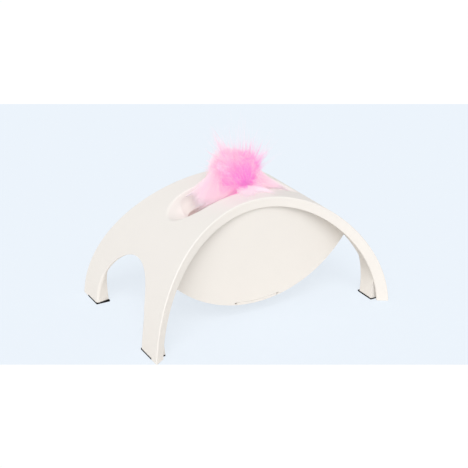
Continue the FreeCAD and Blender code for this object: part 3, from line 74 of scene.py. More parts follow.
# Arcs of the vault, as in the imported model
ARCH_LENGTH = 300 * MM
ARCH_HEIGHT = 141.5 * MM
FOOT_WIDTH = 198.5 * MM
WAIST_WIDTH = 105.5 * MM
HALF_LENGTH = ARCH_LENGTH / 2
ARCH_RADIUS = (HALF_LENGTH ** 2 + ARCH_HEIGHT ** 2) / (2 * ARCH_HEIGHT)
ARCH_CENTRE = ARCH_HEIGHT - ARCH_RADIUS
EDGE_BOW = (FOOT_WIDTH - WAIST_WIDTH) / 2
EDGE_RADIUS = (HALF_LENGTH ** 2 + EDGE_BOW ** 2) / (2 * EDGE_BOW)
EDGE_CENTRE = WAIST_WIDTH / 2 + EDGE_RADIUS

# Wall thicknesses and levels of the vault, its legs' inner face at the ground, the slope of that
# face, how far from the middle the legs' sides are, and the rounding under the walls
SKIN = 3.2 * MM
RIM_DEPTH = 11.6 * MM
RIM_WALL = 2.4 * MM
RIM_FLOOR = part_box("arch_shell")[0].z
PAD_TOP = 2 * MM
LEG_FOOT = 133.3 * MM
LEG_SLOPE = 0.098
LEG_OUTER = 86 * MM
UNDER_FILLET = 1 * MM
LOWER_FILLET = 0.8 * MM

# Arched opening of each end: half width, height, how square it is, the rounding of its edges, and
# how far it opens inwards at the legs, over what height
CUTOUT_HALF_WIDTH = 60 * MM
CUTOUT_HEIGHT = 78 * MM
CUTOUT_SQUARE = 2.3
CUTOUT_FILLET = 0.8 * MM
CUTOUT_FOOT_FILLET = 3 * MM
CUTOUT_FLARE = 3.5 * MM
CUTOUT_EASE = 10 * MM

# Spacing of the vault's mesh: over its outer face, its underside, its legs, and along their edges, the
# rims and the slot's straight sides; and round the end openings and the slot's ends, as an angle
OUTER_STEP = 4.5 * MM
UNDER_STEP = 6 * MM
LEG_STEP = 5 * MM
EDGE_STEP = 4 * MM
RIM_STEP = 3.2 * MM
SLOT_STEP = 3 * MM
CUTOUT_TURN = math.radians(2.5)
SLOT_TURN = math.radians(4)

# Slot on the crown: half of its straight length and of its width, the reach of its sloped ends over
# the vault, the length and the angle of the slope at its sides, and the trough under it
SLOT_STRAIGHT = 53 * MM
SLOT_HALF_WIDTH = 25 * MM
SLOT_REACH = 92 * MM
SLOT_RUN = 0.9 * MM
SIDE_SLOPE = math.radians(66)
COLLAR_WALL = 2.4 * MM
TROUGH_DEPTH = 25.9 * MM
SHELF_EDGE = 0.5 * MM

# The trough's wall: the depths between which it is painted darker, as painted shade; the places
# across between which the floor's painted shade gives way to the shell's colour; and the painted
# glow of its far side, with that side's depths, start and end
PAINTED_SHADE_DEPTHS = (20 * MM, 22.5 * MM)
FLOOR_SHADE_FADE = (14 * MM, 26 * MM)
PAINTED_WALL_GLOW = 0.13
LIT_DEPTH = (5 * MM, 14 * MM)
LIT_START = (7 * MM, 17 * MM)
LIT_END = (SLOT_HALF_WIDTH + 6 * MM, SLOT_HALF_WIDTH + 3 * MM)

# Feather: where it is held, and the direction in which it spreads widest
ROOT = Vector((8.1, 0, 138.8)) * MM
SPREAD = Vector((0.870, -0.493, 0))
LEVEL = UP.cross(SPREAD)
FAN = (SPREAD, LEVEL, UP)
ALONG_SLOT = (Vector((1, 0, 0)), Vector((0, 1, 0)), UP)

# Its bodies of packed down, each with a middle, half sizes and axes: the rounded heart, how square
# that is, the neck under it, and the tufts that lie along the slot, left and right of the wand
HEART_CENTRE = Vector((-0.5, 0.5, 156.5)) * MM
HEART_SIZE = (22.5 * MM, 20 * MM, 16.5 * MM)
HEART_SQUARE = 2.5
NECK = (ROOT - SPREAD * 3 * MM, (17 * MM, 14 * MM, 12 * MM), FAN)
LEFT_TUFT = (Vector((-13, -1, 132)) * MM, (27 * MM, 18 * MM, 7 * MM), ALONG_SLOT)
RIGHT_TUFT = (Vector((25, -2, 134)) * MM, (18 * MM, 17 * MM, 5 * MM), ALONG_SLOT)

# Where its strands part, with the deepest colour; how far from there they are palest; the highest
# that a wisp may reach; and the name of the strands' map, with its margin
DEEPEST = ROOT + (SPREAD * 3 - LEVEL * 16 + UP * 11.5) * MM
PALEST = 70 * MM
TOP_LIMIT = 228 * MM
STRAND_MAP = "OFBake"
MAP_MARGIN = 0.02

# Clumps of strands: over the heart, pointed ones on it, and along the slot, with the share of these
# that lies on its near lip, and the strands to the right of the wand as a share of those to the left
HEART_CLUMPS = 240
BARBS = 34
DRAPE_CLUMPS = 72
LIP_SHARE = 0.45
RIGHT_SHARE = 0.5

# Strands in a pointed clump on the heart, and short side strands of one with side strands, on the
# heart and along the slot
BARB_STRANDS = 7
HEART_FLUFF = 6
DRAPE_FLUFF = 5

# Where the draped clumps end, in mm: across the slot, on its near lip and on that lip's outer edge;
# and before the wand, along the slot and across it. Three numbers: nearest, farthest, most usual
SLOT_ACROSS = (-24, 21)
LIP_ACROSS = (-29, -16)
EDGE_ACROSS = (-29, -25)
FRONT_ALONG = (-20, 27)
FRONT_ACROSS = (-51, -28, -40)

# Pointed tufts on the heart: how far along the spread and over the root each ends, in mm
SPIKES = ((-36, 65), (-31, 56), (-25, 54), (-17, 48), (-9, 51), (-1, 54), (8, 53), (14, 56), (18, 51),
          (23, 49), (31, 46), (26, 39), (28, 27), (-36, 30), (-37, 21), (-34, 38))

# Camera: what it aims at, its sensor's width in millimetres, and its shift
TARGET = Vector((0, 0, 60)) * MM
SENSOR = 36
SHIFT = (-1.107 / 468, 15.696 / 468)

# Soft lamp: its width, and its direction to the right, back and up
SUN_ANGLE = math.radians(38)
SUN_WAY = (-0.05, 0.75, 0.85)

# Floor: half its side, how far behind the middle the pale mat starts and ends, how far the floor
# lies under it, and the shares of a sheet's colour that the camera sees lit and glowing
FLOOR_SIDE = 6
MAT_NEAR = -0.1583
MAT_FAR = 0.7747
MAT_THICKNESS = 0.2 * MM
SHEET_LIT = 0.2
SHEET_GLOW = 0.825


def millimetres(name, description, default, low, high, **more):
    """A setting that is a length, given in millimetres."""
    return FloatProperty(name=name, description=description, default=default * MM, min=low * MM,
                         max=high * MM, subtype="DISTANCE", unit="LENGTH", **more)


def degrees(name, description, default, low=-180, high=180):
    """A setting that is an angle, given in degrees."""
    return FloatProperty(name=name, description=description, default=math.radians(default),
                         min=math.radians(low), max=math.radians(high), subtype="ANGLE", unit="ROTATION")


def tint(name, description, default):
    """A setting that is a colour."""
    return FloatVectorProperty(name=name, description=description, default=default, size=3,
                               min=0, max=1, subtype="COLOR")


def amount(name, description, default, low, high, kind=IntProperty):
    """A setting that is a plain number, and whole unless its kind says otherwise."""
    return kind(name=name, description=description, default=default, min=low, max=high)


class TeaserVault(bpy.types.PropertyGroup):
    """Sizes and colours of the mouldings."""

    rim_fillet: millimetres("Rim fillet", "Rounding of the vault's long edges", 1.8, 0.4, 4)
    side_lip: millimetres("Side lip", "Rounding of the slot's long sides", 2, 1, 4)
    end_lip: millimetres("End lip", "Rounding where the slot's ends start to slope down", 7, 1, 8)
    end_slope: degrees("End slope", "Angle at which the slot's ends slope down", 48, 25, 65)
    end_run: millimetres("End run", "Length of the slope at the slot's ends", 18, 1, 18)
    draft: degrees("Draft", "Angle at which the slot's walls lean inwards on their way down", 17, 0, 20)
    cove: millimetres("Cove", "Radius between the trough's wall and its floor", 1.5, 1, 5)
    end_cove: millimetres(
        "End cove", "Radius between the trough's wall and its floor at the slot's ends", 4, 1, 5)
    plastic: tint("Plastic", "Colour of the white mouldings", (0.89, 0.857, 0.815))
    # Painted shade: this darker colour stands for the shadow deep in the trough, on its floor and low on its
    # walls
    trough: tint("Trough", "Colour of the trough's floor", (0.52, 0.41, 0.39))
    rubber: tint("Rubber", "Colour of the foot pads", (0.005, 0.005, 0.005))


class TeaserFeather(bpy.types.PropertyGroup):
    """Fullness and colours of the feather."""

    heart_count: amount("Heart strands", "Strands that run over the heart from the root", 2900, 100, 8000)
    fringe_count: amount("Fringe strands", "Short strands that stand on the heart", 1500, 100, 8000)
    spike_count: amount("Spike strands", "Strands in each pointed tuft", 20, 3, 60)
    wisp_count: amount("Wisps", "Long pale strands that stand out above the heart", 170, 10, 2000)
    drape_count: amount("Draped strands", "Long strands that lie along the slot", 1900, 10, 3000)
    thickness: millimetres("Strand radius", "Radius of a strand at its root", 0.17, 0.05, 1, precision=5)
    # Painted light: the down glows by this share of its own colour
    painted_glow: amount("Glow", "Light that the thin down passes on, as a share of its colour", 0.27, 0, 0.5,
                 FloatProperty)
    deep_colour: tint("Deep", "Colour at the root", (0.84, 0.20, 0.68))
    body_colour: tint("Body", "Colour of the heart", (0.91, 0.46, 0.69))
    pale_colour: tint("Pale", "Colour of the outer strands", (0.93, 0.68, 0.77))
    tip_colour: tint("Tip", "Colour of the far tips", (0.92, 0.77, 0.84))


class TeaserStage(bpy.types.PropertyGroup):
    """Camera, lamps and ground."""

    azimuth: degrees("Azimuth", "Camera's angle round the toy, 0 looking along +Y", -29.511)
    elevation: degrees("Elevation", "Camera's angle above the horizon", 24.393)
    distance: millimetres("Distance", "From the camera to the point it aims at", 1261.02, 300, 5000)
    lens: amount("Lens", "Focal length on a 36 mm wide sensor, in millimetres", 84.116, 20, 200,
                 FloatProperty)
    ground: tint("Ground", "Colour of the floor and the backdrop", (0.826, 0.888, 0.956))
    bounce: tint("Bounce", "Colour that the floor throws back at the toy", (0.95, 0.93, 0.905))
    sun: amount("Sun", "Strength of the soft lamp", 1.75, 0, 6, FloatProperty)
    sky: amount("Sky", "Strength of the even light from all round", 0.55, 0, 2, FloatProperty)


class Value:
    """One output of a node, which sums, differences, products and powers turn into Math nodes."""

    def __init__(self, nodes, socket):
        self.nodes = nodes
        self.socket = socket

    def _math(self, operation, first, second):
        return self.nodes.add("ShaderNodeMath", {"operation": operation}, {0: first, 1: second})

    def __add__(self, other):
        return self._math("ADD", self, other)

    def __sub__(self, other):
        return self._math("SUBTRACT", self, other)

    def __rsub__(self, other):
        return self._math("SUBTRACT", other, self)

    def __mul__(self, other):
        return self._math("MULTIPLY", self, other)

    def __pow__(self, other):
        return self._math("POWER", self, other)

    def __rpow__(self, other):
        return self._math("POWER", other, self)

    __radd__ = __add__
    __rmul__ = __mul__


class Nodes:
    """A node tree that is filled through one method."""

    def __init__(self, tree):
        self.tree = tree

    def add(self, kind, settings=None, inputs=None, output=0):
        """A node of one kind, with its settings made before its inputs are filled or linked."""
        node = self.tree.nodes.new(kind)
        for word, setting in (settings or {}).items():
            if word == "stops":
                ramp = node.color_ramp
                while len(ramp.elements) < len(setting):
                    ramp.elements.new(1)
                for element, (place, colour) in zip(ramp.elements, setting):
                    element.position = place
                    element.color = (*colour, 1)
            else:
                setattr(node, word, setting)
        for key, item in (inputs or {}).items():
            if isinstance(item, Value):
                self.tree.links.new(item.socket, node.inputs[key])
            elif hasattr(item, "__len__") and len(node.inputs[key].default_value) == 4:
                node.inputs[key].default_value = (*item, 1)
            else:
                node.inputs[key].default_value = item
        return Value(self, node.outputs[output])

    def mix(self, share, first, second):
        """From one colour to another by a share."""
        return self.add("ShaderNodeMix", {"data_type": "RGBA"}, {0: share, 6: first, 7: second}, 2)


class Surface(Nodes):
    """A procedural material: one Principled shader and the nodes that vary it."""

    def __init__(self, name, colour, roughness, **uniform):
        self.material = bpy.data.materials.new(name)
        self.material.use_nodes = True
        super().__init__(self.material.node_tree)
        self.shader = self.tree.nodes["Principled BSDF"]
        self.shader.inputs["Base Color"].default_value = (*colour, 1)
        for word, number in {"roughness": roughness, **uniform}.items():
            self.input(word).default_value = number

    def input(self, word):
        """One of the shader's inputs."""
        return self.shader.inputs[word.replace("_", " ").title().replace("Ior", "IOR")]

    def place(self):
        """Where a point of the surface lies in the row's frame, in metres."""
        return self.add("ShaderNodeTexCoord", output=3)

    def part(self, vector, index):
        """One coordinate of a vector."""
        return self.add("ShaderNodeSeparateXYZ", inputs={0: vector}, output=index)

    def noise(self, size, detail=2.0, roughness=0.5):
        """Smooth noise from 0 to 1 whose lumps are about this size."""
        return self.add("ShaderNodeTexNoise", inputs={
            "Vector": self.place(), "Scale": 1 / size, "Detail": detail, "Roughness": roughness})

    def ease(self, item, start, end):
        """A soft step from 0 at the start to 1 at the end."""
        return self.add("ShaderNodeMapRange", {"interpolation_type": "SMOOTHSTEP"},
                        {0: item, 1: start, 2: end})

    def feed(self, **outputs):
        """Link values to the shader's inputs."""
        for word, item in outputs.items():
            self.tree.links.new(item.socket, self.input(word))
        return self

    def bump(self, height, strength, distance):
        """Feed a height to the shader's normal."""
        return self.feed(normal=self.add("ShaderNodeBump", inputs={
            "Height": height, "Strength": strength, "Distance": distance}))


def tinted(colour, factor):
    """A colour made lighter or darker by a factor."""
    return tuple(min(1.0, part * factor) for part in colour)


def moulded_plastic(name, colour, roughness=0.36, grain=0.45 * MM, coat=0.12, painted_shade=None):
    """Injection-moulded plastic: fine spark-eroded grain, slow drift of tone and gloss. With a shade
    colour it is painted darker deep in the trough, as painted shade, and the trough's far wall glows
    with painted light."""
    made = Surface(name, colour, roughness, coat_weight=coat, coat_roughness=0.18, ior=1.5)
    drift = made.noise(60 * MM, 3)
    speck = made.noise(2.2 * MM)
    tone = made.mix(drift, tinted(colour, 0.975), tinted(colour, 1.012))
    shade = made.mix(speck * 0.25, tone, tinted(colour, 0.96))
    if painted_shade:
        from_axis = made.add("ShaderNodeVectorMath", {"operation": "MULTIPLY_ADD"},
                             {0: made.place(), 1: (1, 0, 1), 2: (0, 0, -ARCH_CENTRE)})
        depth = ARCH_RADIUS - made.add("ShaderNodeVectorMath", {"operation": "LENGTH"}, {0: from_axis}, 1)
        across = made.part(made.place(), 1)
        # Painted shade: the colour turns to the darker one low in the trough
        shade = made.mix(made.ease(depth - made.noise(9 * MM) * (2 * MM), *PAINTED_SHADE_DEPTHS), shade, painted_shade)
        # Painted light: the trough's far wall glows faintly with its own colour
        lit = made.ease(depth, *LIT_DEPTH) * made.ease(across, *LIT_START) * made.ease(across, *LIT_END)
        made.input("emission_strength").default_value = PAINTED_WALL_GLOW
        made.feed(emission_color=made.mix(lit, BLACK, shade))
    made.feed(base_color=shade, roughness=drift * 0.06 + speck * 0.05 + (roughness - 0.055))
    return made.bump(made.noise(grain, 1), 0.05, 0.03 * MM)


def trough_painted_shade_plastic(name, colour, shell):
    """The trough's moulding, painted darker as shade except along its far side."""
    made = Surface(name, colour, 0.45, coat_weight=0.1, coat_roughness=0.2)
    # Painted shade: the floor keeps the darker colour except towards its far side
    shade_fade = made.ease(made.part(made.place(), 1) + made.noise(9 * MM) * (6 * MM), *FLOOR_SHADE_FADE)
    made.feed(base_color=made.mix(shade_fade, colour, shell), roughness=made.noise(3 * MM) * 0.1 + 0.4)
    return made.bump(made.noise(0.5 * MM, 1), 0.05, 0.03 * MM)


def soft_rubber(name, colour):
    """Matt rubber, dusty on its high spots."""
    made = Surface(name, colour, 0.8, specular_ior_level=0.15)
    dust = made.noise(3 * MM, 4, 0.7) ** 3
    made.feed(base_color=made.mix(dust, colour, (0.03, 0.029, 0.027)), roughness=dust * 0.2 + 0.75)
    return made.bump(made.noise(0.35 * MM, 3), 0.3, 0.05 * MM)


def metal(name, colour, roughness, wear):
    """Plated or turned metal with fine scratches and a stained bloom."""
    made = Surface(name, colour, roughness, metallic=1.0)
    bloom = made.noise(4 * MM, 3)
    scratch = made.noise(0.3 * MM)
    made.feed(base_color=made.mix(bloom * wear, colour, tinted(colour, 0.72)),
              roughness=scratch * 0.12 + bloom * 0.1 + (roughness - 0.1))
    return made.bump(scratch, 0.08, 0.02 * MM)


def insulation(name, colour):
    """Soft insulation of a lead."""
    made = Surface(name, colour, 0.5, coat_weight=0.1)
    haze = made.noise(2 * MM, 3)
    made.feed(base_color=made.mix(haze * 0.4, colour, tinted(colour, 0.6)), roughness=haze * 0.2 + 0.4)
    return made.bump(made.noise(0.5 * MM), 0.1, 0.02 * MM)


def circuit_board(name):
    """Green solder mask with traces that show through it."""
    made = Surface(name, (0.02, 0.13, 0.05), 0.3, coat_weight=0.5, coat_roughness=0.1)
    lines = made.add("ShaderNodeTexBrick", {"offset": 0.37}, {
        "Vector": made.place(), "Scale": 420, "Mortar Size": 0.06, "Color1": (0.02, 0.12, 0.05),
        "Color2": (0.025, 0.15, 0.06), "Mortar": (0.05, 0.24, 0.09)})
    return made.feed(base_color=lines).bump(made.noise(1 * MM), 0.05, 0.02 * MM)


def feather_material(name, settings):
    """Dyed down: deep at the root, pale at the tips, each strand of its own tone."""
    # Painted light: the down glows with its own colour
    made = Surface(name, settings.body_colour, 0.7, specular_ior_level=0.2, sheen_weight=0.15,
                   sheen_roughness=0.6, emission_strength=settings.painted_glow)
    spot = made.add("ShaderNodeUVMap", {"uv_map": STRAND_MAP})
    tone, far = made.part(spot, 0), made.part(spot, 1)
    deep, body = settings.deep_colour, settings.body_colour
    between = [(a + b) / 2 for a, b in zip(deep, body)]
    dyed = made.add("ShaderNodeValToRGB", {"stops": [
        (0.08, deep), (0.19, between), (0.34, body), (0.56, settings.pale_colour),
        (0.95, settings.tip_colour)]}, {0: far + (tone - 0.5) * 0.26})
    shade = made.mix(tone ** 2 * 0.4, dyed, (0.97, 0.90, 0.93))
    return made.feed(base_color=shade, emission_color=shade)


# How the surface of each of the record's slots among the works is made
WORKS = {
    "zinc_steel": (metal, (0.62, 0.63, 0.65), 0.34, 0.5),
    "brass": (metal, (0.75, 0.53, 0.22), 0.3, 0.6),
    "nickel": (metal, (0.68, 0.66, 0.62), 0.25, 0.4),
    "cell_wrap": (moulded_plastic, (0.02, 0.022, 0.028), 0.3, 0.8 * MM, 0.4),
    "grey_plastic": (moulded_plastic, (0.26, 0.27, 0.28), 0.5),
    "gear_nylon": (moulded_plastic, (0.75, 0.73, 0.64), 0.42),
    "black_plastic": (moulded_plastic, (0.012, 0.012, 0.013), 0.45),
    "board_green": (circuit_board,),
    "wand_white": (moulded_plastic, (0.8, 0.76, 0.72), 0.4),
    "pink_plastic": (moulded_plastic, (0.85, 0.14, 0.48), 0.3, 0.5 * MM, 0.3),
    "red_insulation": (insulation, (0.5, 0.012, 0.012)),
    "black_insulation": (insulation, (0.012, 0.012, 0.012)),
}


def finish(name, surface, bevel=0.0):
    """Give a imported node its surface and, if wanted, softly bevelled edges."""
    node = frame["nodes"][name]
    node.data.materials.clear()
    node.data.materials.append(surface.material)
    if bevel:
        node.modifiers.new("weld", "WELD").merge_threshold = 0.01 * MM
        soft = node.modifiers.new("soft_edges", "BEVEL")
        soft.width = bevel
        soft.segments = 2
        soft.limit_method = "ANGLE"
        soft.angle_limit = math.radians(35)
        soft.harden_normals = True


def made_object(name, points, faces, surface):
    """A new object with one surface."""
    mesh = bpy.data.meshes.new(name)
    mesh.from_pydata(points, [], faces)
    mesh.materials.append(surface.material)
    made = bpy.data.objects.new(name, mesh)
    bpy.context.scene.collection.objects.link(made)
    return made


class Form:
    """A moulded form: shared points, and faces whose every corner has its own normal."""

    def __init__(self):
        self.points = []
        self.faces = []
        self.normals = []

    def add(self, point):
        self.points.append(Vector(point))
        return len(self.points) - 1

    def face(self, corners, normals):
        """A face, turned to look the way its normals do; one normal makes it flat."""
        if isinstance(normals, Vector):
            normals = [normals] * len(corners)
        kept = [i for i, corner in enumerate(corners) if corner != corners[i - 1]]
        corners, normals = [corners[i] for i in kept], [normals[i] for i in kept]
        if len(corners) < 3:
            return
        if geometry.normal([self.points[i] for i in corners]).dot(sum(normals, Vector())) < 0:
            corners.reverse()
            normals.reverse()
        self.faces.append(corners)
        self.normals.append(normals)

    def strips(self, rows, closed=False):
        """Four-sided faces between rows of (point, normal before it, normal after it)."""
        for first, second in zip(rows, rows[1:] + rows[:1] if closed else rows[1:]):
            for here, there, far_here, far_there in zip(first, first[1:], second, second[1:]):
                self.face([here[0], there[0], far_there[0], far_here[0]],
                          [here[2], there[1], far_there[1], far_here[2]])

    def fill(self, loops, step, flatten, raised, normal_at):
        """Triangles between closed loops of points, over a surface that flattens to a plane."""
        outlines = [[flatten(self.points[i]) for i in loop] for loop in loops]
        numbers, places, edges = sum(loops, []), sum(outlines, []), []
        for loop in loops:
            first = len(edges)
            edges += [(first + i, first + (i + 1) % len(loop)) for i in range(len(loop))]
        border = np.array(places)
        low, high = border.min(axis=0), border.max(axis=0)
        grid = np.array([(low[0] + u * step, v + (step / 2 if u % 2 else 0))
                         for u in range(1, int((high[0] - low[0]) / step) + 1)
                         for v in np.arange(low[1], high[1], step)])
        apart = np.array([np.hypot(*(border - place).T).min() for place in grid])
        for place in grid[inside(grid, outlines) & (apart > 0.6 * step)]:
            numbers.append(self.add(raised(*place)))
            places.append(tuple(place))
        spots, _, triangles, sources, _, _ = geometry.delaunay_2d_cdt(
            [Vector(place) for place in places], edges, [], 0, 1e-9)
        middles = np.array([np.mean([spots[i] for i in triangle], axis=0) for triangle in triangles])
        for triangle, wanted in zip(triangles, inside(middles, outlines)):
            if wanted:
                corners = [numbers[sources[i][0]] for i in triangle]
                self.face(corners, [normal_at(self.points[i]) for i in corners])

    def build(self, name, surface):
        """The form as an object."""
        made = made_object(name, self.points, self.faces, surface)
        made.data.shade_smooth()
        made.data.normals_split_custom_set([tuple(normal) for corners in self.normals for normal in corners])
        return made


def inside(places, outlines):
    """Which places lie inside an odd number of outlines."""
    crossings = np.zeros(len(places), int)
    for outline in outlines:
        for (ax, ay), (bx, by) in zip(outline, outline[1:] + outline[:1]):
            if ay != by:
                spans = (ay > places[:, 1]) != (by > places[:, 1])
                crossings += spans & (places[:, 0] < (bx - ax) * (places[:, 1] - ay) / (by - ay) + ax)
    return crossings % 2 == 1


def spaced(low, high, step):
    """Evenly spaced numbers from low to high, both of them among these."""
    count = max(1, round(abs(high - low) / step))
    return [low + (high - low) * i / count for i in range(count + 1)]


def height_at(arc):
    """Height of the vault's outer face at an arc length from the crown."""
    return ARCH_CENTRE + ARCH_RADIUS * math.cos(arc / ARCH_RADIUS)


def arc_at(height):
    """Arc length from the crown to a height, on the vault's outer face."""
    return ARCH_RADIUS * math.acos((height - ARCH_CENTRE) / ARCH_RADIUS)


def reach_at(height, depth):
    """How far from the middle a face at a depth under the outer one is, at a height."""
    return math.sqrt((ARCH_RADIUS - depth) ** 2 - (height - ARCH_CENTRE) ** 2)


def leg_at(height):
    """How far from the middle the legs' inner face is, at a height."""
    return LEG_FOOT + LEG_SLOPE * height


def inner_reach(height):
    """How far from the middle the inner face of the skin, or of the leg, is, at a height."""
    return min(leg_at(height), reach_at(height, SKIN))


def wedge_height():
    """Height at which the legs' inner face meets the skin's underside."""
    square, half = LEG_SLOPE ** 2 + 1, LEG_FOOT * LEG_SLOPE - ARCH_CENTRE
    rest = LEG_FOOT ** 2 + ARCH_CENTRE ** 2 - (ARCH_RADIUS - SKIN) ** 2
    return (math.sqrt(half ** 2 - square * rest) - half) / square


def away_from_centre(arc):
    """Direction in which the vault's outer face looks."""
    return Vector((math.sin(arc / ARCH_RADIUS), 0, math.cos(arc / ARCH_RADIUS)))


def outward(point):
    """Direction in which the vault looks at a point."""
    return Vector((point.x, 0, point.z - ARCH_CENTRE)).normalized()


def inner_look(x_sign):
    """Direction in which the legs' inner face looks, at one end."""
    return Vector((-x_sign, 0, LEG_SLOPE)).normalized()


def vault_point(arc, across, depth=0.0):
    """Point at a depth under the vault's outer face, not lower than its feet."""
    point = away_from_centre(arc) * (ARCH_RADIUS - depth)
    return Vector((point.x, across, max(ARCH_CENTRE + point.z, RIM_FLOOR)))


def level_point(arc, across, share):
    """Point straight inwards from the outer face: share 1 is the skin's inner face, or the leg's."""
    height = height_at(arc)
    outer = reach_at(height, 0)
    return Vector((math.copysign(outer + (inner_reach(height) - outer) * share, arc), across, height))


def unroll(point):
    """Arc length from the crown and place across of a point of the vault."""
    return ARCH_RADIUS * math.atan2(point.x, point.z - ARCH_CENTRE), point.y


def sweep(form, path, profile_at, point_at, inner_at=None):
    """Carry a profile along a path over the vault. A point of the path is an arc length, a place
    across, the direction there from the material to its edge and, if it is another one, that of the
    offsets. A point of the profile is an offset into the material, a depth, and how much the face
    looks towards the edge and outwards, before the point and after it."""
    rows = []
    for arc, across, edge, *shift in path:
        shift_arc, shift_across = shift[0] if shift else edge
        outer = away_from_centre(arc)
        along = Vector((outer.z, 0, -outer.x))
        wall = along * edge[0] + Vector((0, edge[1], 0))
        if inner_at:
            wall = Vector((0, wall.y, wall.z)).normalized()
        inner = inner_at(arc) if inner_at else -outer
        row = []
        for offset, depth, *sides in profile_at(arc):
            point = form.add(point_at(arc - shift_arc * offset, across - shift_across * offset, depth))
            row.append((point, *[(wall * toward + outer * max(up, 0) + inner * max(-up, 0)).normalized()
                                 for toward, up in sides]))
        rows.append(row)
    return rows


def with_edges(places, goal, closed=False):
    """A path along places, whose every edge direction points to the goal's side."""
    path = []
    for i, (arc, across) in enumerate(places):
        before = places[i - 1] if closed or i else places[i]
        after = places[(i + 1) % len(places)] if closed or i + 1 < len(places) else places[i]
        edge = Vector((after[1] - before[1], before[0] - after[0])).normalized()
        if edge.dot(Vector((goal[0] - arc, goal[1] - across))) < 0:
            edge = -edge
        path.append((arc, across, edge))
    return path


def rounded(offset, depth, turn):
    """A point of a profile where the face is smooth. It looks outwards at a turn of 0, and towards the
    edge at a quarter turn."""
    look = math.sin(turn), math.cos(turn)
    return offset, depth, look, look


def bend(offset, depth, radius, turns):
    """Points of a profile round a middle; a radius below 0 makes the bend hollow."""
    return [rounded(offset - radius * math.sin(turn), depth - radius * math.cos(turn), turn)
            for turn in turns]


def straight(start, end, turn, shares=(1 / 3, 2 / 3)):
    """Points of a profile on a flat face between two others."""
    return [rounded(*(a + (b - a) * share for a, b in zip(start, end)), turn) for share in shares]


def quarter(number, steps):
    """The turns of one quarter, the first being number 0."""
    return [QUARTER * (number + i / steps) for i in range(steps + 1)]


def under_bend(wall):
    """Hollow bend from the back of a wall to the skin's underside."""
    return bend(wall + UNDER_FILLET, SKIN + UNDER_FILLET, -UNDER_FILLET, quarter(2, 3)[::-1])


def rim_profile(fillet):
    """The vault's long edge: fillet, outer face, lower edge, inner face, up to the skin's underside."""
    low = RIM_DEPTH - LOWER_FILLET
    return (bend(fillet, fillet, fillet, quarter(0, 5)) + straight((0, fillet), (0, low), QUARTER)
            + bend(LOWER_FILLET, low, LOWER_FILLET, quarter(1, 3))
            + bend(RIM_WALL - LOWER_FILLET, low, LOWER_FILLET, quarter(2, 3)) + under_bend(RIM_WALL))


def rim_rows(form, y_sign, arcs, fillet):
    """The rim along one side, cut upright to the vault's waisted plan."""
    rows = []
    for arc in arcs:
        outer = away_from_centre(arc)
        row = []
        for offset, depth, *sides in rim_profile(fillet):
            point = vault_point(arc, 0, depth)
            point.y = y_sign * (EDGE_CENTRE - math.sqrt((EDGE_RADIUS + offset) ** 2 - point.x ** 2))
            wall = Vector((-point.x, y_sign * EDGE_CENTRE - point.y, 0)).normalized()
            row.append((form.add(point), *[(wall * toward + outer * up).normalized()
                                           for toward, up in sides]))
        rows.append(row)
    return rows


def cutout_profile(arc, wedge):
    """Edge of an arched opening, as deep as the skin or the leg behind it, with that depth as 1. Below
    the wedge it opens inwards, and its outer edge is rounder."""
    height = height_at(arc)
    low = min(1, max(0, (wedge - height) / CUTOUT_EASE)) ** 0.5
    flare = CUTOUT_FLARE * low
    fillet = CUTOUT_FILLET + (CUTOUT_FOOT_FILLET - CUTOUT_FILLET) * low
    deep = reach_at(height, 0) - inner_reach(height)
    lean = math.atan2(flare, deep)
    turn = QUARTER + lean
    profile = bend(fillet, fillet, fillet, spaced(0, turn, turn / 4))
    start, first = profile[-1][:2]
    last = deep - CUTOUT_FILLET
    end = start + (last - first) / deep * flare
    profile += straight((start, first), (end, last), turn)
    profile += bend(end + CUTOUT_FILLET, last, CUTOUT_FILLET, spaced(turn, math.pi, (QUARTER - lean) / 3))
    return [(offset, depth / deep, *sides) for offset, depth, *sides in profile]


def cutout_outline(wedge):
    """Half of an arched opening's outline from its foot to its top, as (across, height), and which of
    its points stands at the height of the wedge behind the leg."""
    turns = [math.asin((height / CUTOUT_HEIGHT) ** (CUTOUT_SQUARE / 2)) for height in (PAD_TOP, wedge)]
    lower = spaced(turns[0], turns[1], CUTOUT_TURN)
    upper = spaced(turns[1], QUARTER, CUTOUT_TURN)[1:]
    return [(CUTOUT_HALF_WIDTH * math.cos(turn), CUTOUT_HEIGHT * math.sin(turn) ** (2 / CUTOUT_SQUARE))
            for turn in lower + upper], len(lower) - 1


def slot_profile(lip, slope, run, foot, draft, cove):
    """The slot's edge: lip, slope, wall and cove down to the trough's floor, and back up outside."""
    low, leaning = TROUGH_DEPTH - SHELF_EDGE, QUARTER - draft
    profile = bend(0, lip, lip, spaced(0, slope, slope / 4))
    start = profile[-1][:2]
    end = start[0] - run * math.cos(slope), start[1] + run * math.sin(slope)
    profile += straight(start, end, slope)
    profile += bend(end[0] + foot * math.sin(slope), end[1] + foot * math.cos(slope), foot,
                    spaced(slope, leaning, (leaning - slope) / 4))
    offset, depth = profile[-1][:2]
    wall = low - cove * (1 - math.sin(draft))
    inner = offset - (wall - depth) * math.tan(draft)
    profile += straight((offset, depth), (inner, wall), leaning, (0.25, 0.5, 0.75, 1))
    shelf, outer = inner - cove * math.cos(draft), inner + COLLAR_WALL
    profile += bend(shelf, low - cove, -cove, spaced(leaning, 0, leaning / 5)[1:-1])
    return profile + [(shelf, low, (0, 1), (1, 0)), (shelf, TROUGH_DEPTH, (1, 0), (0, -1)),
                      (outer, TROUGH_DEPTH, (0, -1), (-1, 0))]


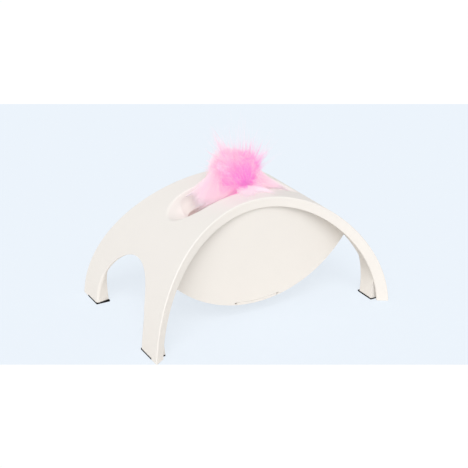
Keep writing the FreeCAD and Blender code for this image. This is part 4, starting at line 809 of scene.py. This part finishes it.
def slot_sweep(form, settings):
    """Lip, wall and collar of the slot, with a long soft slope at its two ends, where the offsets run
    towards the middle of the rounded end."""
    half_width = SLOT_HALF_WIDTH + settings.side_lip
    half = [(arc, -half_width) for arc in spaced(-SLOT_STRAIGHT, SLOT_STRAIGHT, SLOT_STEP)]
    half += [(SLOT_STRAIGHT + (SLOT_REACH - SLOT_STRAIGHT) * math.sin(turn), -half_width * math.cos(turn))
             for turn in spaced(0, math.pi, SLOT_TURN)[1:-1]]
    path = []
    for arc, across, edge in with_edges(half + [(-arc, -across) for arc, across in half], (0, 0), True):
        past = arc - math.copysign(SLOT_STRAIGHT, arc)
        round_end = abs(arc) >= SLOT_STRAIGHT
        path.append((arc, across, edge, -Vector((past, across)).normalized() if round_end else edge))

    def profile_at(arc):
        share = min(1, max(0, (abs(arc) - SLOT_STRAIGHT) / (SLOT_REACH - SLOT_STRAIGHT)))
        share *= share * (3 - 2 * share)

        def between(side, end):
            return side + (end - side) * share

        lip = between(settings.side_lip, settings.end_lip)
        return slot_profile(
            lip, between(SIDE_SLOPE, settings.end_slope), between(SLOT_RUN, settings.end_run),
            lip * (1 + share ** 0.5), settings.draft, between(settings.cove, settings.end_cove)
        ) + under_bend(COLLAR_WALL - settings.side_lip)

    rows = sweep(form, path, profile_at, vault_point)
    form.strips(rows, True)
    return rows


def column(rows, place):
    """One point of every row."""
    return [row[place][0] for row in rows]


def bridge(form, first, last, point_at):
    """New points between two others, about a step apart, on a face given by height and place across."""
    start, end = form.points[first], form.points[last]
    count = max(1, round((end - start).length / EDGE_STEP))
    between = [start.lerp(end, i / count) for i in range(1, count)]
    return [form.add(point_at(point.z, point.y)) for point in between]


def vault_leg(form, x_sign, y_sign, rim, cutout, wedge):
    """Foot, step and inner face of one leg. The rim's and the cutout's rows start at the foot, and the
    cutout's end at the wedge. Gives back the foot's outer edge, and the edge of the skin's underside
    from the rim to the cutout."""
    side = y_sign * LEG_OUTER

    def on_face(depth):
        return lambda height, across: (x_sign * reach_at(height, depth), across, height)

    def on_leg(height, across):
        return x_sign * leg_at(height), across, height

    outer, under = on_face(0), on_face(SKIN)
    corner = form.add(outer(RIM_FLOOR, side))
    step = form.add(outer(PAD_TOP, side))
    under_corner = form.add(under(RIM_FLOOR, side))
    heights = spaced(PAD_TOP, wedge, EDGE_STEP)
    skin_line = [form.add(under(height, side)) for height in heights]
    leg_line = [form.add(on_leg(height, side)) for height in heights[:-1]] + skin_line[-1:]
    rim_edge = bridge(form, rim[0][0][0], corner, outer)
    pad_edge = bridge(form, step, cutout[0][0][0], outer)
    recess_edge = bridge(form, rim[0][-1][0], under_corner, under)
    leg_edge = bridge(form, cutout[0][-1][0], leg_line[0], on_leg)
    wedge_edge = bridge(form, skin_line[-1], cutout[-1][-1][0], under)
    for low, high, leg_low, leg_high in zip(skin_line, skin_line[1:], leg_line, leg_line[1:]):
        form.face([low, high, leg_high, leg_low], Vector((0, y_sign, 0)))
    form.face([corner, step, skin_line[0], under_corner], Vector((0, -y_sign, 0)))
    form.face(rim_edge + [corner, under_corner] + recess_edge[::-1]
              + [entry[0] for entry in rim[0][::-1]], -UP)
    form.face([step] + pad_edge + [entry[0] for entry in cutout[0]] + leg_edge
              + [leg_line[0], skin_line[0]], -UP)
    form.fill([leg_edge + leg_line + wedge_edge + column(cutout[::-1], -1)], LEG_STEP,
              lambda point: (point.z, point.y), on_leg, lambda point: inner_look(x_sign))
    return rim_edge + [corner, step] + pad_edge, recess_edge + [under_corner] + skin_line + wedge_edge


def vault_form(settings):
    """The whole vault in one closed form."""
    form = Form()
    wedge = wedge_height()
    arcs = spaced(arc_at(RIM_FLOOR), -arc_at(RIM_FLOOR), RIM_STEP)
    rims = {y_sign: rim_rows(form, y_sign, arcs, settings.rim_fillet) for y_sign in (-1, 1)}
    for rows in rims.values():
        form.strips(rows)
    half, wedge_row = cutout_outline(wedge)
    outline = half + [(-across, height) for across, height in half[-2::-1]]
    outer_loop, under_loop = [], []
    for x_sign in (1, -1):
        path = with_edges([(x_sign * arc_at(height), across) for across, height in outline],
                          (x_sign * arc_at(0), 0))
        cutout = sweep(form, path, lambda arc: cutout_profile(arc, wedge), level_point, lambda arc: (
            inner_look(x_sign) if abs(arc) > arc_at(wedge) else -away_from_centre(arc)))
        form.strips(cutout)
        from_foot = {1: cutout[:wedge_row + 1], -1: cutout[:-wedge_row - 2:-1]}
        legs = {y_sign: vault_leg(form, x_sign, y_sign, rims[y_sign][::x_sign], from_foot[y_sign], wedge)
                for y_sign in (1, -1)}
        crown = cutout[wedge_row:len(cutout) - wedge_row]
        outer_end = legs[1][0] + column(cutout, 0) + legs[-1][0][::-1]
        under_end = legs[1][1] + column(crown, -1) + legs[-1][1][::-1]
        rim = rims[x_sign][::-x_sign]
        outer_loop += column(rim, 0) + outer_end[::x_sign]
        under_loop += column(rim, -1) + under_end[::x_sign]
    slot = slot_sweep(form, settings)
    form.fill([outer_loop, column(slot, 0)], OUTER_STEP, unroll, vault_point, outward)
    form.fill([under_loop, column(slot, -1)], UNDER_STEP, unroll,
              lambda arc, across: vault_point(arc, across, SKIN), lambda point: -outward(point))
    return form


class Strands:
    """Fine closed strands in one mesh. Its map holds each point's tone and how pale it is, which grows
    with its distance from the parting."""

    SIDES = 3

    def __init__(self, settings, seed, fade):
        self.thickness = settings.thickness
        self.chance = random.Random(seed)
        self.fade = fade
        self.points = []
        self.faces = []
        self.places = []

    def face(self, corners, tones):
        """A face, with each corner's place in the map: its tone across, its paleness up."""
        self.faces.append(corners)
        for i, tone in zip(corners, tones):
            pale = (self.points[i] - DEEPEST).length / PALEST + self.fade
            self.places.append([MAP_MARGIN + (1 - 2 * MAP_MARGIN) * min(1, max(0, part))
                                for part in (tone, pale)])

    def anywhere(self):
        """A random direction."""
        return Vector([self.chance.gauss(0, 1) for _ in range(3)]).normalized()

    def near(self, point, low, high=None):
        """A random point round another, at a distance in millimetres or between two of these."""
        way = self.anywhere()
        return point + way * (self.chance.uniform(low, high) if high else low) * MM

    def sway(self, start, end, away, steps):
        """A path from a start to an end that passes near the middle between them."""
        return curve(start, self.near(start.lerp(end, 0.5), away), end, steps)

    def grow(self, path, width, tone):
        """A strand along a path, tapered to a point; its width is a share of the usual one."""
        first = len(self.points)
        count = len(path)
        sides = range(self.SIDES)
        for i, point in enumerate(path[:-1]):
            along = (path[i + 1] - path[max(i - 1, 0)]).normalized()
            across = along.cross(Vector((0.31, 0.94, 0.12))).normalized()
            other = along.cross(across)
            radius = self.thickness * width * (1 - 0.75 * i / (count - 1))
            for k in sides:
                turn = 2 * math.pi * k / self.SIDES
                self.points.append(point + across * (radius * math.cos(turn))
                                   + other * (radius * math.sin(turn)))
        self.points.append(path[-1])
        rings = [[first + self.SIDES * i + k for k in sides] for i in range(count - 1)]
        faces = [rings[0][::-1]]
        for low, high in zip(rings, rings[1:]):
            faces += [[low[k], low[k - 2], high[k - 2], high[k]] for k in sides]
        faces += [[rings[-1][k], rings[-1][k - 2], len(self.points) - 1] for k in sides]
        for corners in faces:
            self.face(corners, [tone] * len(corners))

    def barb(self, path, width, tone, fluff):
        """A strand with a number of short side strands along it."""
        self.grow(path, width, tone)
        for i in range(fluff):
            share = 0.12 + 0.84 * (i + self.chance.random()) / fluff
            spot = share * (len(path) - 1)
            index = min(int(spot), len(path) - 2)
            start = path[index].lerp(path[index + 1], spot - index)
            along = (path[index + 1] - path[index]).normalized()
            out = along.cross(self.anywhere()).normalized()
            reach = 3 * MM * (0.6 + 0.8 * self.chance.random()) * (1 - 0.45 * share)
            middle = start + (along * 0.5 + out * 0.55) * (reach * 0.6)
            end = start + (along * 1.05 + out * 0.75) * reach
            self.grow([start, middle, end], width * 0.6, tone + self.chance.gauss(0, 0.08))

    def drape(self, i, path, tone):
        """One of many strands, near a clump's tone; every third has side strands."""
        tone += self.chance.gauss(0, 0.1)
        if i % 3:
            self.grow(path, self.chance.uniform(0.6, 1), tone)
        else:
            self.barb(path, 0.8, tone, DRAPE_FLUFF)

    def core(self, centre, reach_at, steps):
        """A closed body of packed down round a centre, with furrows that run out from the parting."""
        first = len(self.points)
        ball = bmesh.new()
        bmesh.ops.create_icosphere(ball, subdivisions=steps, radius=1)
        tones = []
        for vertex in ball.verts:
            spot = centre + vertex.co * reach_at(vertex.co)
            strand = (spot - DEEPEST).normalized()
            furrow = noise.noise(strand * 13) + 0.6 * noise.noise(strand * 31)
            self.points.append(spot + vertex.co * (0.5 * MM * furrow))
            tones.append(0.25 + 0.35 * furrow)
        for face in ball.faces:
            corners = [vertex.index for vertex in face.verts]
            self.face([first + i for i in corners], [tones[i] for i in corners])
        ball.free()

    def build(self, name, surface):
        """The strands as an object."""
        made = made_object(name, self.points, self.faces, surface)
        places = np.array(self.places, np.float32)
        made.data.uv_layers.new(name=STRAND_MAP).uv.foreach_set("vector", places.ravel())
        made.data.shade_smooth()
        return made


def spread_vector(along, across, up):
    """A direction given along the feather's spread, level across it, and up."""
    return SPREAD * along + LEVEL * across + UP * up


def reach_through(start, way, centre, size, axes):
    """How far from a start, in a direction, the far side of an ellipsoid is; 0 beside it."""
    gap = Vector([(start - centre).dot(axis) / half for axis, half in zip(axes, size)])
    step = Vector([way.dot(axis) / half for axis, half in zip(axes, size)])
    square, cross = step.length_squared, gap.dot(step)
    inner = cross * cross - square * (gap.length_squared - 1)
    return max(0, (math.sqrt(inner) - cross) / square) if inner > 0 else 0


def heart_reach(way):
    """How far the heart's lumpy surface is from its middle, in a direction."""
    parts = [abs(way.dot(axis)) / half for axis, half in zip(FAN, HEART_SIZE)]
    lump = 1 + 0.2 * noise.noise(way * 1.9 + Vector((4.1, 0, 0))) + 0.12 * noise.noise(way * 5.2)
    return lump * sum(part ** HEART_SQUARE for part in parts) ** (-1 / HEART_SQUARE)


def on_heart(way, share):
    """Point at a share of the way from the heart's middle to its surface."""
    return HEART_CENTRE + way * (heart_reach(way) * share)


def curve(start, lift, end, steps):
    """Points of a quadratic curve."""
    return [start * (1 - t) ** 2 + lift * (2 * t * (1 - t)) + end * t ** 2
            for t in (i / steps for i in range(steps + 1))]


def grow_fringe(settings, down):
    """The heart's body of packed down, and the short strands that stand on it."""
    chance = down.chance
    down.core(HEART_CENTRE, lambda way: max(heart_reach(way), reach_through(HEART_CENTRE, way, *NECK)), 6)
    for i in range(settings.fringe_count):
        way = down.anywhere()
        base = on_heart(way, chance.uniform(0.85, 1))
        if base.z < ROOT.z:
            continue
        fibre = ((base - DEEPEST).normalized() * 0.8 + down.anywhere() * 0.3 + way * 0.5).normalized()
        length = chance.triangular(4, 15, 7) * MM
        path = curve(base, base + (fibre * 0.55 + down.anywhere() * 0.22) * length, base + fibre * length, 4)
        down.grow(path, chance.uniform(0.6, 1), chance.gauss(0.5, 0.25))


def grow_heart(settings, down):
    """Clumps of strands that fan out over the heart from the parting."""
    chance = down.chance
    clumps = [(down.anywhere(), chance.triangular(0.98, 1.5, 1.08), chance.gauss(0.5, 0.35))
              for _ in range(HEART_CLUMPS)]
    for i in range(settings.heart_count):
        clump, stretch, tone = clumps[i % len(clumps)]
        way = (clump + down.anywhere() * 0.09).normalized()
        if way.z < -0.5:
            way.z = -way.z
        end = on_heart(way, stretch * chance.uniform(0.94, 1.04))
        start = down.near(ROOT.lerp(DEEPEST, chance.uniform(0.2, 1)), 3)
        side = (start.lerp(end, 0.5) - HEART_CENTRE + down.anywhere() * 4 * MM).normalized()
        over = on_heart(side, chance.uniform(0.99, 1.1))
        path = curve(start, over * 2 - start.lerp(end, 0.5), end, 7)
        tone += chance.gauss(0, 0.12)
        if i % 4:
            down.grow(path, chance.uniform(0.7, 1.2), tone)
        else:
            down.barb(path, 1, tone, HEART_FLUFF)


def grow_wisps(settings, down):
    """Pointed tufts on the heart, and long pale wisps that stand out above it."""
    chance = down.chance
    for along, up in SPIKES:
        end = ROOT + spread_vector(along, chance.gauss(0, 7), up) * MM
        middle = ROOT.lerp(end, 0.5)
        for _ in range(settings.spike_count):
            start = down.near(middle, 1, 7)
            tip = middle.lerp(end, chance.uniform(0.55, 1.08))
            tip += down.anywhere() * chance.triangular(0, 8, 2.5) * MM
            down.grow(down.sway(start, tip, 1.5, 5), chance.uniform(0.6, 1.1), chance.uniform(0, 0.65))
    for _ in range(BARBS):
        way = spread_vector(chance.gauss(0, 0.75), chance.gauss(-0.1, 0.4), chance.uniform(0.15, 1))
        way.normalize()
        base = on_heart(way, 0.85)
        end = base + (way + down.anywhere() * 0.25) * chance.uniform(9, 18) * MM
        tone = chance.uniform(0, 0.7)
        for _ in range(BARB_STRANDS):
            path = down.sway(down.near(base, 0.5, 2.5), down.near(end, 0, 1.8), 0.8, 5)
            down.grow(path, chance.uniform(0.5, 0.9), tone + chance.gauss(0, 0.1))
    for _ in range(settings.wisp_count):
        lean = chance.gauss(-0.1, 0.5)
        way = spread_vector(lean, chance.gauss(0, 0.35), chance.uniform(0.75, 1)).normalized()
        start = down.near(ROOT + way * 20 * MM, 3)
        end = ROOT + way * (chance.uniform(56, 92) * (1 - 0.25 * min(1, abs(lean)))) * MM
        end.z = min(end.z, TOP_LIMIT)
        lift = down.near(start.lerp(end, 0.5), 5) + UP * 2 * MM
        down.grow(curve(start, lift, end, 6), 0.45, chance.uniform(0.5, 1))


def grow_drape(settings, down, side, reaches, tuft=None):
    """Clumps of strands that lie to one side of the wand: along the slot with a tuft of packed down,
    or else on its near lip. About every other strand starts on the heart's flank and flows down from
    there. A clump has its reach along the slot and its place across in mm, how far it sinks in and
    lifts, a tone and a flank."""
    chance = down.chance
    if tuft:
        down.core(tuft[0], lambda way: (
            reach_through(tuft[0], way, *tuft) * (1 + 0.12 * noise.noise(way * 3))), 5)
    part = 1 - LIP_SHARE if tuft else LIP_SHARE
    share = part * (1 if side < 0 else RIGHT_SHARE)
    clumps = []
    for i in range(round(DRAPE_CLUMPS * part)):
        reach = chance.triangular(*reaches)
        across = chance.uniform(*(SLOT_ACROSS if tuft else LIP_ACROSS))
        if i % 2 and not tuft:
            reach, across = chance.uniform(8, reaches[2]), chance.uniform(*EDGE_ACROSS)
        clump = [reach, across, chance.random(), chance.uniform(1, 10),
                 chance.gauss(0.5 + 0.014 * across, 0.4)]
        flank = spread_vector(side * 0.75, chance.uniform(-0.75, 0.1), chance.uniform(-0.35, 0.4))
        clumps.append((*clump, flank.normalized()))
    for i in range(round(settings.drape_count * share)):
        reach, across, sunk, rise, tone, flank = clumps[i % len(clumps)]
        x = ROOT.x + side * (reach + chance.gauss(0, 2.5)) * MM
        across = min(SLOT_ACROSS[1], max(LIP_ACROSS[0], across + chance.gauss(0, 1.5)))
        within = across - SLOT_ACROSS[0]
        depth = -1.5 + sunk * (2.5 + within * 0.25) if within > 0 else -1
        end = vault_point(ARCH_RADIUS * math.asin(x / ARCH_RADIUS), across * MM, depth * MM)
        if chance.random() < 0.5:
            way = (flank + down.anywhere() * 0.12).normalized()
            start = on_heart(way, 0.94)
            lift = start.lerp(end, 0.4) + (way * 2 + UP * chance.uniform(-1, 2)) * MM
        else:
            start = down.near(ROOT.lerp(DEEPEST, chance.uniform(0.1, 0.95)), 3)
            lift = start.lerp(end, 0.5) + UP * (rise + chance.uniform(-1, 1)) * MM
            lift.y += 0.2 * (end.y - start.y)
        down.drape(i, curve(start, lift, end, 6), tone)


def grow_front(settings, down):
    """Pale strands that hang over the slot's near lip and lie on the vault before the wand."""
    chance = down.chance
    clumps = [(chance.uniform(*FRONT_ALONG), chance.triangular(*FRONT_ACROSS), chance.gauss(0.65, 0.3))
              for _ in range(DRAPE_CLUMPS // 2)]
    for i in range(settings.drape_count // 3):
        x, across, tone = clumps[i % len(clumps)]
        end = vault_point((x + chance.gauss(0, 1.8)) * MM,
                          max(FRONT_ACROSS[0], across + chance.gauss(0, 1.8)) * MM,
                          -chance.uniform(0.3, 1.5) * MM)
        start = ROOT + spread_vector(
            chance.uniform(-9, 14), -chance.uniform(12, 18), chance.uniform(0, 5)) * MM
        lift = start.lerp(end, 0.5) + UP * chance.uniform(0.5, 5.5) * MM
        down.drape(i, curve(start, lift, end, 6), tone)


# The feather's pieces: what grows each, with which choices (side, reaches in mm and tuft), seed and
# extra paleness; and the axis along which the wand's swing would flatten it, and how much of it would stay
FEATHER_PIECES = (
    ("feather_heart", grow_fringe, (), 12, 0, (1, 0, 0), 0.4),
    ("feather_strands", grow_heart, (), 11, 0, (1, 0, 0), 0.4),
    ("feather_wisps", grow_wisps, (), 23, -0.14, (1, 0, 0), 0.4),
    ("feather_drape_left", grow_drape, (-1, (34, 74, 61), LEFT_TUFT), 36, 0.14, (-0.95, 0, -0.31), 0.06),
    ("feather_drape_right", grow_drape, (1, (14, 60, 40), RIGHT_TUFT), 38, 0.3, (0.94, 0, -0.34), 0.03),
    ("feather_lip_left", grow_drape, (-1, (28, 72, 57)), 40, 0.14, (-0.83, -0.53, -0.16), 0.05),
    ("feather_lip_right", grow_drape, (1, (14, 60, 40)), 42, 0.3, (0.78, -0.58, -0.22), 0.05),
    ("feather_drape_front", grow_front, (), 53, 0.62, (0, -1, 0), 0.15),
)


def flat_sheet(name, corners, colour, bounce):
    """A floor sheet that the camera sees partly lit and mostly as written."""
    made = Surface(name, colour, 0.9, specular_ior_level=0.0, emission_strength=1)
    seen = made.add("ShaderNodeLightPath")
    made.feed(base_color=made.mix(seen, bounce, tinted(colour, SHEET_LIT)),
              emission_color=made.mix(seen, BLACK, tinted(colour, SHEET_GLOW)))
    made_object(name, corners, [range(len(corners))], made)


def set_stage(scene, settings):
    """Camera, sun, sky and floor."""
    right = Vector((math.cos(settings.azimuth), math.sin(settings.azimuth), 0))
    back = Vector((math.sin(settings.azimuth), -math.cos(settings.azimuth), 0))
    view_back = back * math.cos(settings.elevation) + UP * math.sin(settings.elevation)
    lens = bpy.data.cameras.new("camera")
    lens.lens = settings.lens
    lens.sensor_width = SENSOR
    lens.shift_x, lens.shift_y = SHIFT
    camera = bpy.data.objects.new("camera", lens)
    camera.location = TARGET + view_back * settings.distance
    camera.rotation_euler = view_back.to_track_quat("Z", "Y").to_euler()
    lamp = bpy.data.lights.new("sun", "SUN")
    lamp.energy = settings.sun
    lamp.angle = SUN_ANGLE
    sun = bpy.data.objects.new("sun", lamp)
    toward = right * SUN_WAY[0] + back * SUN_WAY[1] + UP * SUN_WAY[2]
    sun.rotation_euler = toward.to_track_quat("Z", "Y").to_euler()
    for thing in (camera, sun):
        scene.collection.objects.link(thing)
    scene.camera = camera
    scene.view_settings.view_transform = "Standard"

    scene.world = bpy.data.worlds.new("sky")
    scene.world.use_nodes = True
    sky = Nodes(scene.world.node_tree)
    seen = sky.mix(sky.add("ShaderNodeLightPath"), (settings.sky,) * 3, settings.ground)
    sky.tree.links.new(seen.socket, sky.tree.nodes["Background"].inputs["Color"])

    def sheet(near, far):
        return [right * side - back * depth for side, depth in (
            (-FLOOR_SIDE, near), (FLOOR_SIDE, near), (FLOOR_SIDE, far), (-FLOOR_SIDE, far))]

    flat_sheet("floor_mat", sheet(MAT_NEAR, MAT_FAR), settings.ground, settings.bounce)
    white = [point - UP * MAT_THICKNESS for point in sheet(-FLOOR_SIDE, FLOOR_SIDE)]
    flat_sheet("floor", white, (1, 1, 1), settings.bounce)


class TEASER_OT_vault(bpy.types.Operator):
    """Build the white vault with its rims, legs, openings and slot"""

    bl_idname = "teaser.vault"
    bl_label = "Vault"

    def execute(self, context):
        settings = context.scene.teaser_vault
        # Its plastic is painted darker deep in the trough, as painted shade, and its far wall glows with
        # painted light
        vault = vault_form(settings).build("vault", moulded_plastic(
            "white_shell", settings.plastic, painted_shade=settings.trough))
        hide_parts("arch_shell")
        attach(vault, "housing")
        return {"FINISHED"}


class TEASER_OT_housing(bpy.types.Operator):
    """Finish the housing, the battery door, the trough's floor and the foot pads"""

    bl_idname = "teaser.housing"
    bl_label = "Housing"

    def execute(self, context):
        settings = context.scene.teaser_vault
        shell = moulded_plastic("white_housing", tinted(settings.plastic, 0.985), 0.42)
        for name in ("belly_housing", "battery_door"):
            finish(name, shell, 0.5 * MM)
        finish("trough_floor", trough_painted_shade_plastic("trough_painted_shade_plastic", settings.trough, settings.plastic), 0.5 * MM)
        rubber = soft_rubber("foot_rubber", settings.rubber)
        for name in frame["nodes"]:
            if name.startswith("foot_pad"):
                finish(name, rubber, 0.3 * MM)
        return {"FINISHED"}


class TEASER_OT_works(bpy.types.Operator):
    """Finish the works: gears, motor, cells, board, leads, screws and wand"""

    bl_idname = "teaser.works"
    bl_label = "Works"

    def execute(self, context):
        surfaces = {name: make(name, *look) for name, (make, *look) in WORKS.items()}
        for part in frame["record"]["subparts"]:
            if part["material_slot"] in surfaces:
                finish(part["node"], surfaces[part["material_slot"]])
        return {"FINISHED"}


class TEASER_OT_feather(bpy.types.Operator):
    """Grow the feather: its heart, its wisps and the strands that lie along the slot"""

    bl_idname = "teaser.feather"
    bl_label = "Feather"

    def execute(self, context):
        settings = context.scene.teaser_feather
        down = feather_material("dyed_down", settings)
        for name, grow, choices, seed, fade, axis, keep in FEATHER_PIECES:
            strands = Strands(settings, seed, fade)
            grow(settings, strands, *choices)
            piece = strands.build(name, down)
            if name == "feather_heart":
                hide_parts("feather_tuft")
            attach(piece, "wand")
            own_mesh(piece)
        return {"FINISHED"}


class TEASER_OT_stage(bpy.types.Operator):
    """Set the camera, the lamps, the floor and the backdrop"""

    bl_idname = "teaser.stage"
    bl_label = "Stage"

    def execute(self, context):
        set_stage(context.scene, context.scene.teaser_stage)
        return {"FINISHED"}


class TEASER_PT_panel(bpy.types.Panel):
    """Lists the pieces that can be made"""

    bl_idname = "TEASER_PT_panel"
    bl_label = "Arch feather teaser"
    bl_space_type = "VIEW_3D"
    bl_region_type = "UI"
    bl_category = "Teaser"

    def draw(self, context):
        for operator in OPERATORS:
            self.layout.operator(operator.bl_idname)


OPERATORS = (TEASER_OT_vault, TEASER_OT_housing, TEASER_OT_works, TEASER_OT_feather, TEASER_OT_stage)
GROUPS = {"teaser_vault": TeaserVault, "teaser_feather": TeaserFeather, "teaser_stage": TeaserStage}


def register():
    for part in (*GROUPS.values(), *OPERATORS, TEASER_PT_panel):
        bpy.utils.register_class(part)
    for name, group in GROUPS.items():
        setattr(bpy.types.Scene, name, PointerProperty(type=group))


def unregister():
    for name in GROUPS:
        delattr(bpy.types.Scene, name)
    for part in (TEASER_PT_panel, *reversed(OPERATORS), *reversed(GROUPS.values())):
        bpy.utils.unregister_class(part)


def main():
    register()
    bpy.ops.teaser.vault()
    bpy.ops.teaser.housing()
    bpy.ops.teaser.works()
    bpy.ops.teaser.feather()
    bpy.ops.teaser.stage()


if __name__ == "__main__":
    main()
